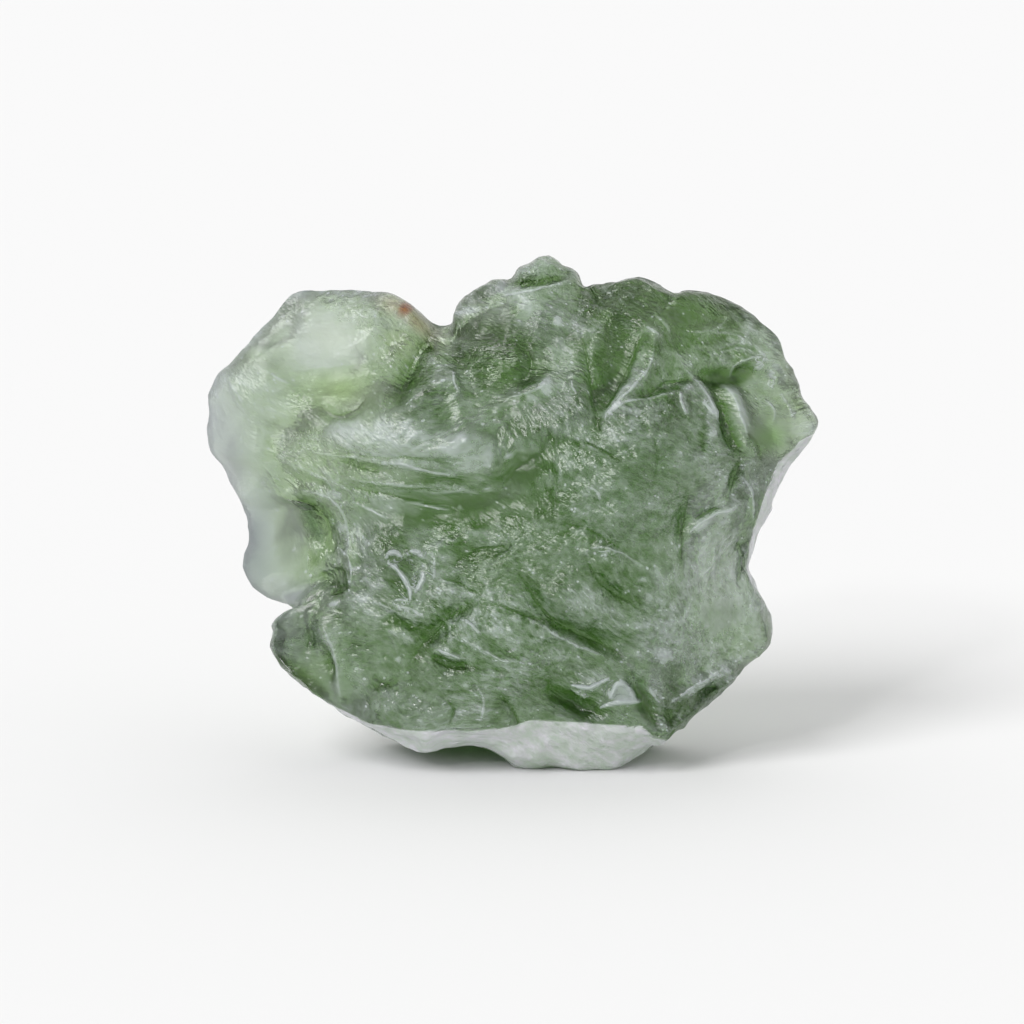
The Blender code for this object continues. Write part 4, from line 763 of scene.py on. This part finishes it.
# Patches of colour on the face, real stains and windows as well as painted light and shade:
# centre, radii, turn, colour, how strong, frost and sheen.
PATCHES = (
    ((-7.7, 7.4), (1.6, 1.2), 0, "#F0F5F2", 0.88, 1.05),     # white top of the scallop
    ((-7.2, 5.1), (1.5, 0.9), 0, "#C0DA9E", 0.95, 0.65),     # its clear green floor
    ((10.7, 3.05), (0.7, 0.6), 0, "#A4D47E", 0.90, 0.30),    # window near the tip
    ((-4.9, 8.7), (0.8, 0.45), -20, "#C4B596", 0.75, 0.7),    # tan skin beside the stain
    ((-4.5, 8.55), (0.48, 0.40), 0, "#A4592B", 1.00, 0.8),   # iron stain at the notch
    ((-3.9, 8.0), (1.0, 0.45), -45, "#B9A878", 0.85, 0.7),   # its yellow trail
    ((-12.0, 2.6), (1.2, 2.7), 12, "#BEC2C8", 0.90, 1.0),    # thin left edge, paler by a painted reflection of the floor
    ((-10.9, -1.4), (1.2, 2.6), 0, "#9DA4AB", 0.92, 0.9),    # grey edge of the apron, paler by a painted reflection of the floor
    ((-9.5, -0.9), (0.8, 1.4), 0, "#8F998F", 0.85, 0.7),     # painted shade in its middle
    ((-9.9, -3.1), (1.2, 0.6), -20, "#C4C8CE", 0.80, 0.8),   # its foot, paler by a painted reflection of the floor
    ((-8.35, -0.5), (0.34, 1.2), 22, "#567F48", 0.90, 0.1),  # painted shade in the hollow beside the apron
    ((-4.6, 7.2), (0.9, 0.7), -30, "#9DB07A", 0.60, 0.5),    # olive glass under the stain
    ((-6.4, -5.9), (0.8, 1.0), -30, "#8DAE7C", 0.55, 0.4),   # painted light on a facet at the lower left
    ((-7.8, 2.2), (1.7, 0.9), -15, "#BCCFAC", 0.60, 0.7),    # pale start of the band
    ((8.6, -3.0), (1.6, 3.4), 0, "#DAE4DA", 0.48, 0.8),      # frost and painted light low on the right
    ((-9.1, -5.3), (0.8, 0.8), 0, "#87948A", 0.75, 0.5),     # grey knob at the lower left
    ((-8.7, -6.9), (0.9, 0.30), -38, "#86B35A", 0.85, 0.25),  # green window under it
)


def paint(place, proud, at_rim, is_front):
    """Frost and painted sheen on what stands proud and little in the furrows, painted shade in the
    low clear patches, the patches' own colours, some of them painted light and shade, how thin
    the stone is there, from both sheets' heights, the crisp lines' painted highlights and shade,
    and the bevels' painted reflection of the floor."""
    a, b, c = place.T
    through = heights_at(a, b, FRONT_HEIGHTS) + heights_at(a, b, BACK_HEIGHTS)
    for form in DEEP_AREAS:
        through = through + mound(a, b, *form)
    thin = np.clip((THICK - through) / THICK_TO_THIN, 0, 1)
    frost_and_sheen = FROST_USUAL + PROUD_FROST_AND_SHEEN * proud
    for much, width, salt in FROST_DRIFTS:
        frost_and_sheen = frost_and_sheen + much * drift(place, width, salt)
    # More frost on the left rim, which paints light on it.
    frost_and_sheen = frost_and_sheen + LEFT_RIM * at_rim * np.clip((LEFT_RIM_START - a) / LEFT_RIM_WIDTH, 0, 1)
    # Frost below none paints shade: the glass there looks deeper.
    thin = thin - np.clip(frost_and_sheen, FROST_LEAST, 0) / FROST_LEAST
    frost_and_sheen = np.clip(frost_and_sheen, 0, FROST_MOST)
    tint = np.zeros((len(place), 4))
    for centre, radii, turn, code, strength, level in PATCHES:
        share = mound(a, b, centre, radii, turn, strength) * is_front
        tint[:, :3] = np.where(share[:, None] > tint[:, 3:], linear(code), tint[:, :3])
        tint[:, 3] = np.maximum(tint[:, 3], share)
        frost_and_sheen = frost_and_sheen * (1 - share) + level * share

    far, width, salts = EDGE_DRIFT
    shake = [far * drift(place, width, salt) for salt in salts]
    past_foot = np.interp(a, *np.array(FOOT_BEVEL).T) - b + shake[0]
    past_tip = a - np.interp(b, *np.array(TIP_BEVEL)[:, ::-1].T) + shake[0]
    begins = np.where(is_front, 1.0, BACK_SOFT)
    on_foot = np.clip((FOOT_BEVEL_END - a) / FOOT_BEVEL_FADE, 0, 1)
    on_tip = np.clip((b - TIP_BEVEL_END) / TIP_BEVEL_FADE, 0, 1)
    bevel = np.maximum(np.minimum(past_foot * begins, BEVEL_EDGE * on_foot),
                       np.minimum(past_tip * begins, BEVEL_EDGE * on_tip))
    much, width, salt = BEVEL_DRIFT
    fade = (c + BEVEL_BEHIND) / BEVEL_FADE + much * drift(place, width, salt)
    bevel = np.clip(bevel, -1, BEVEL_EDGE) * np.clip(fade, 0, 1)
    # The crisp lines: painted highlights on ridges and painted shade in furrows, on both sheets.
    off, bright = np.zeros((2, len(place)))
    for side, lines, level in ((is_front, FRONT_NICKS, 1.0), (~is_front, BACK_NICKS, BACK_DIM)):
        off[side], bright[side] = crisp_lines(a[side] + shake[0][side],
                                              b[side] + shake[1][side], lines)
        bright[side] *= level
    return frost_and_sheen, thin, tint, np.stack([off, bright, bevel], axis=-1)


def node(tree, kind, settings, links):
    """Add one node: its own settings by name, and what each of its inputs is given, which is
    a value, an output, or a node, which stands for the first output that it has in use."""
    made = tree.nodes.new("ShaderNode" + kind)
    for name, value in settings.items():
        setattr(made, name, value)
    for name, value in links.items():
        if isinstance(value, bpy.types.Node):
            value = next(socket for socket in value.outputs if socket.enabled)
        if isinstance(value, bpy.types.NodeSocket):
            tree.links.new(value, made.inputs[name])
        else:
            made.inputs[name].default_value = value
    return made


# The skin's marks, and the painted glints, by how many of them there are to a millimetre of flow.
GRIT, PITS, GRAINS, FLAKES, GLINT_GRANULES = 5.5, 4.6, 8.5, 2.6, 3.6
HATCHING = (0.6, 1.0, 1.0)          # grit and grains are drawn out along the flow
LINE_CORE = (0.08, 0.02)            # millimetres off a line's middle: nothing, all of it
SKIN_DEPTH = 0.00008                # metres that the finest relief looks deep
DEEP_GREEN, GREEN, THIN_GREEN = "#2C4A20", "#6B8C50", "#C2D2B4"
# The grey veil of frost and painted sheen.
FROST_AND_SHEEN_GREY = "#D8E0E3"
# The bevels' painted reflection of the white floor.
FLOOR_REFLECTION_WHITES = ("#E0E8E4", "#F6F2FE")
GLASS_IOR = 1.49
GLASS_SHEEN = 0.8                   # specular level: the skin is a little glossier than usual
GLASS_GREEN = (0.48, 0.68, 0.26, 1)  # what the glass lets through
GLASS_DENSITY = 330.0               # how much of the rest it takes, to a metre


def etched_glass():
    """Natural glass, etched by the ground: clear green inside, with a skin of tiny pits that
    frosts the crests to a grey veil, partly painted sheen, and leaves the furrows dark and
    wet-looking, partly painted shade; with painted highlights on ridges, painted glints and a
    painted reflection of the floor on the bevels."""
    material = bpy.data.materials.new("etched natural glass")
    material.use_nodes = True
    tree = material.node_tree
    seen = {name: node(tree, "Attribute", {"attribute_name": name}, {}).outputs
            for name in ("flow", "frost_and_sheen", "thin", "rough", "tint", "edges")}
    flow, frost_and_sheen, thin, rough = (seen["flow"]["Vector"], seen["frost_and_sheen"]["Fac"],
                                seen["thin"]["Fac"], seen["rough"]["Fac"])
    edges = node(tree, "SeparateXYZ", {}, {"Vector": seen["edges"]["Vector"]}).outputs

    # Painted highlights along the edges of ridges, lips and scars, painted shade along furrows:
    # crisp lines 0.1 mm wide, broken up by the grit.
    hatched = node(tree, "Mapping", {}, {"Vector": flow, "Scale": HATCHING})
    grit = node(tree, "TexNoise", {}, {"Vector": hatched, "Scale": GRIT, "Detail": 3.0})
    off = node(tree, "Math", {"operation": "ABSOLUTE"}, {0: edges["X"]})
    core = node(tree, "MapRange", {},
                {"Value": off, "From Min": LINE_CORE[0], "From Max": LINE_CORE[1]})
    broken = node(tree, "MapRange", {}, {"Value": grit, "From Min": 0.24, "From Max": 0.40})
    line = node(tree, "Math", {"operation": "MULTIPLY"}, {0: core, 1: edges["Y"]})
    line = node(tree, "Math", {"operation": "MULTIPLY"}, {0: line, 1: broken})

    # The skin's finest relief: pits 0.2 mm wide along the flow, with grit and grains in them.
    pits = node(tree, "TexVoronoi", {}, {"Vector": flow, "Scale": PITS})
    grains = node(tree, "TexVoronoi", {}, {"Vector": hatched, "Scale": GRAINS})
    height = node(tree, "Math", {"operation": "MULTIPLY_ADD"}, {0: pits, 1: 0.45, 2: grit})
    height = node(tree, "Math", {"operation": "MULTIPLY_ADD"}, {0: grains, 1: 0.4, 2: height})
    raised = node(tree, "Math", {"operation": "MULTIPLY_ADD"}, {0: line, 1: 0.7, 2: height})
    depth = node(tree, "MapRange", {}, {"Value": rough, "To Min": 0.06, "To Max": 0.90})
    bump = node(tree, "Bump", {}, {"Height": raised, "Strength": depth, "Distance": SKIN_DEPTH})

    # Its crests are frosted more than its floors, and the frost flakes off in places.
    crest = node(tree, "MapRange", {"clamp": False},
                 {"Value": height, "From Min": 0.65, "From Max": 1.15,
                  "To Min": -0.14, "To Max": 0.15})
    flaked = node(tree, "TexNoise", {},
                  {"Vector": flow, "Scale": FLAKES, "Detail": 5.0, "Roughness": 0.62})
    flakes = node(tree, "MapRange", {}, {"Value": flaked, "From Min": 0.38, "From Max": 0.62,
                                         "To Min": -0.17, "To Max": 0.17})
    uneven = node(tree, "Math", {"operation": "ADD"}, {0: crest, 1: flakes})
    uneven = node(tree, "Math", {"operation": "MULTIPLY"}, {0: uneven, 1: rough})

    # Painted glints: single white granules, 0.1 mm across, that gather where the frost is thick.
    dots = node(tree, "TexVoronoi", {}, {"Vector": flow, "Scale": GLINT_GRANULES})
    dots = node(tree, "MapRange", {}, {"Value": dots, "From Min": 0.22, "From Max": 0.12})
    thick = node(tree, "MapRange", {}, {"Value": flaked, "From Min": 0.48, "From Max": 0.60})
    dots = node(tree, "Math", {"operation": "MULTIPLY"}, {0: dots, 1: thick})
    uneven = node(tree, "Math", {"operation": "MULTIPLY_ADD"}, {0: dots, 1: 0.85, 2: uneven})
    # The lines' painted highlights lighten the veil, their painted shade darkens it.
    uneven = node(tree, "Math", {"operation": "MULTIPLY_ADD"}, {0: line, 1: 0.85, 2: uneven})
    skin = node(tree, "Math", {"operation": "ADD"}, {0: frost_and_sheen, 1: uneven})

    # Deep green where the glass is thick, pale where it is thin and darker by painted shade in
    # low clear patches, veiled grey by the frost and its painted sheen, and on top of that the
    # patches' colours, real stains and painted light and shade, and the painted white reflection
    # of the floor on the bevels.
    bevel = node(tree, "MapRange", {},
                 {"Value": edges["Z"], "From Min": 0.0, "From Max": BEVEL_EDGE})
    streak = node(tree, "MapRange", {}, {"Value": flaked, "From Min": 0.35, "From Max": 0.65})
    deep = node(tree, "MapRange", {}, {"Value": thin, "From Min": -1.0, "From Max": 0.0})
    dark, green, pale, grey, white, whiter = (
        (*linear(code), 1) for code in (DEEP_GREEN, GREEN, THIN_GREEN, FROST_AND_SHEEN_GREY, *FLOOR_REFLECTION_WHITES))
    colour = dark
    for share, upper in ((deep, green), (thin, pale), (skin, grey),
                         (seen["tint"]["Alpha"], seen["tint"]["Color"])):
        colour = node(tree, "Mix", {"data_type": "RGBA"}, {0: share, 6: colour, 7: upper})
    white = node(tree, "Mix", {"data_type": "RGBA"}, {0: streak, 6: white, 7: whiter})
    colour = node(tree, "Mix", {"data_type": "RGBA"}, {0: bevel, 6: colour, 7: white})

    # Frost is duller and less clear than wet-looking glass, and smooth hollows are dullest.
    frosted = node(tree, "Math", {"operation": "MAXIMUM"}, {0: skin, 1: bevel})
    dull = node(tree, "MapRange", {}, {"Value": frosted, "To Min": 0.12, "To Max": 0.28})
    dull = node(tree, "MapRange", {}, {"Value": rough, "To Min": 0.44, "To Max": dull})
    clear = node(tree, "MapRange", {},
                 {"Value": skin, "From Max": FROST_MOST, "To Min": 0.88, "To Max": 0.38})
    clear = node(tree, "Math", {"operation": "MULTIPLY_ADD"}, {0: bevel, 1: -0.38, 2: clear})

    shader, output = tree.nodes["Principled BSDF"], tree.nodes["Material Output"]
    for name, made in (("Base Color", colour.outputs[2]), ("Roughness", dull.outputs[0]),
                       ("Transmission Weight", clear.outputs[0]), ("Normal", bump.outputs[0])):
        tree.links.new(made, shader.inputs[name])
    shader.inputs["IOR"].default_value = GLASS_IOR
    shader.inputs["Specular IOR Level"].default_value = GLASS_SHEEN
    volume = node(tree, "VolumeAbsorption", {}, {"Color": GLASS_GREEN, "Density": GLASS_DENSITY})
    tree.links.new(volume.outputs[0], output.inputs["Volume"])
    return material


def build_stone():
    """The stone's mesh, with all that its material reads as attributes of its corners."""
    place, faces, proud, rough, at_rim, flow, is_front = stone_shape()
    frost_and_sheen, thin, tint, edges = paint(place, proud, at_rim, is_front)
    mesh = bpy.data.meshes.new("moldavite stone")
    mesh.from_pydata(stand_up(place).tolist(), [], faces.tolist())
    for name, value in (("frost_and_sheen", frost_and_sheen), ("thin", thin), ("rough", rough)):
        mesh.attributes.new(name, "FLOAT", "POINT").data.foreach_set("value", value)
    for name, value in (("flow", flow), ("edges", edges)):
        mesh.attributes.new(name, "FLOAT_VECTOR", "POINT").data.foreach_set(
            "vector", value.ravel())
    mesh.color_attributes.new("tint", "FLOAT_COLOR", "POINT").data.foreach_set(
        "color", tint.ravel())
    mesh.shade_smooth()
    mesh.materials.append(etched_glass())
    stone = bpy.data.objects.new("moldavite_stone", mesh)
    bpy.context.scene.collection.objects.link(stone)
    return stone


stone = build_stone()
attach(stone, "root")
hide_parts("moldavite")

# The floor: plain white studio card, matt, that reaches far behind the stone. It is cut
# as one round sheet, and the stone stands loose on it.
FLOOR_RADIUS = 2.0     # metres
FLOOR_DROP = 0.00002   # metres, which keeps the card clear of the stone's own flat spot
FLOOR_CORNERS = 96
CARD_WHITE = 0.82      # the share of the light that it gives back


def white_card():
    """Matt white card: it gives an even, almost pure white without any gloss."""
    material = bpy.data.materials.new("matt white card")
    material.use_nodes = True
    shader = material.node_tree.nodes["Principled BSDF"]
    shader.inputs["Base Color"].default_value = (CARD_WHITE, CARD_WHITE, CARD_WHITE, 1)
    shader.inputs["Roughness"].default_value = 1.0
    shader.inputs["Specular IOR Level"].default_value = 0.0
    return material


corner = np.linspace(0, math.tau, FLOOR_CORNERS, endpoint=False)
rim = np.stack([FLOOR_RADIUS * np.cos(corner), FLOOR_RADIUS * np.sin(corner),
                np.full(FLOOR_CORNERS, -FLOOR_DROP)], axis=-1)
card = bpy.data.meshes.new("floor")
card.from_pydata(rim.tolist(), [], [list(range(FLOOR_CORNERS))])
card.materials.append(white_card())
floor = bpy.data.objects.new("floor", card)
bpy.context.scene.collection.objects.link(floor)

# The light: a white room, brightest behind the stone and to its right, so that the thin
# glass glows, and two lamps high on the left in front, a broad soft one and a small one.
ROOM_DIM, ROOM_BRIGHT = 0.30, 1.0   # behind the camera, and behind the stone
ROOM_RIGHT = 0.7       # how much the right counts beside the back
# Each lamp's name, power, spread in degrees and turns about X and Y in degrees.
LAMPS = (("soft lamp", 1.75, 30, (30, -35)), ("spot lamp", 0.33, 6, (48, -38)))

world = bpy.data.worlds.new("white room")
world.use_nodes = True
room = world.node_tree
toward = node(room, "TexCoord", {}, {}).outputs["Generated"]
toward = node(room, "SeparateXYZ", {}, {"Vector": toward}).outputs
right = node(room, "Math", {"operation": "MAXIMUM"}, {0: toward["X"], 1: 0.0})
bright = node(room, "Math", {"operation": "MULTIPLY_ADD"},
              {0: right, 1: ROOM_RIGHT, 2: toward["Y"]})
glow = node(room, "MapRange", {}, {"Value": bright, "From Min": -0.5, "From Max": 0.5,
                                   "To Min": ROOM_DIM, "To Max": ROOM_BRIGHT})
room.nodes["Background"].inputs["Color"].default_value = (1, 1, 1, 1)
room.links.new(glow.outputs["Result"], room.nodes["Background"].inputs["Strength"])
bpy.context.scene.world = world

for name, power, spread, turns in LAMPS:
    lamp = bpy.data.lights.new(name, "SUN")
    lamp.energy = power
    lamp.angle = math.radians(spread)
    key = bpy.data.objects.new(name, lamp)
    key.rotation_euler = (math.radians(turns[0]), math.radians(turns[1]), 0)
    bpy.context.scene.collection.objects.link(key)

# The camera: a long lens, 12 degrees above the level, square to the stone's broad face. It
# stands where 43.2 mm fill the frame, which shows the stone as large as in the photo.
PITCH = 12.0           # degrees
LENS = 180.0           # millimetres
AWAY = 0.216           # metres
NEAREST = 0.01         # metres from the lens that it still shows
AIM = (0.0, 0.0003, 0.01048)  # metres: about the middle of the stone

eye = bpy.data.cameras.new("camera")
eye.lens = LENS
eye.clip_start = NEAREST
camera = bpy.data.objects.new("camera", eye)
pitch = math.radians(PITCH)
camera.location = (AIM[0], AIM[1] - AWAY * math.cos(pitch), AIM[2] + AWAY * math.sin(pitch))
camera.rotation_euler = (math.pi / 2 - pitch, 0, 0)
bpy.context.scene.collection.objects.link(camera)
bpy.context.scene.camera = camera
bpy.context.scene.view_settings.view_transform = "Standard"
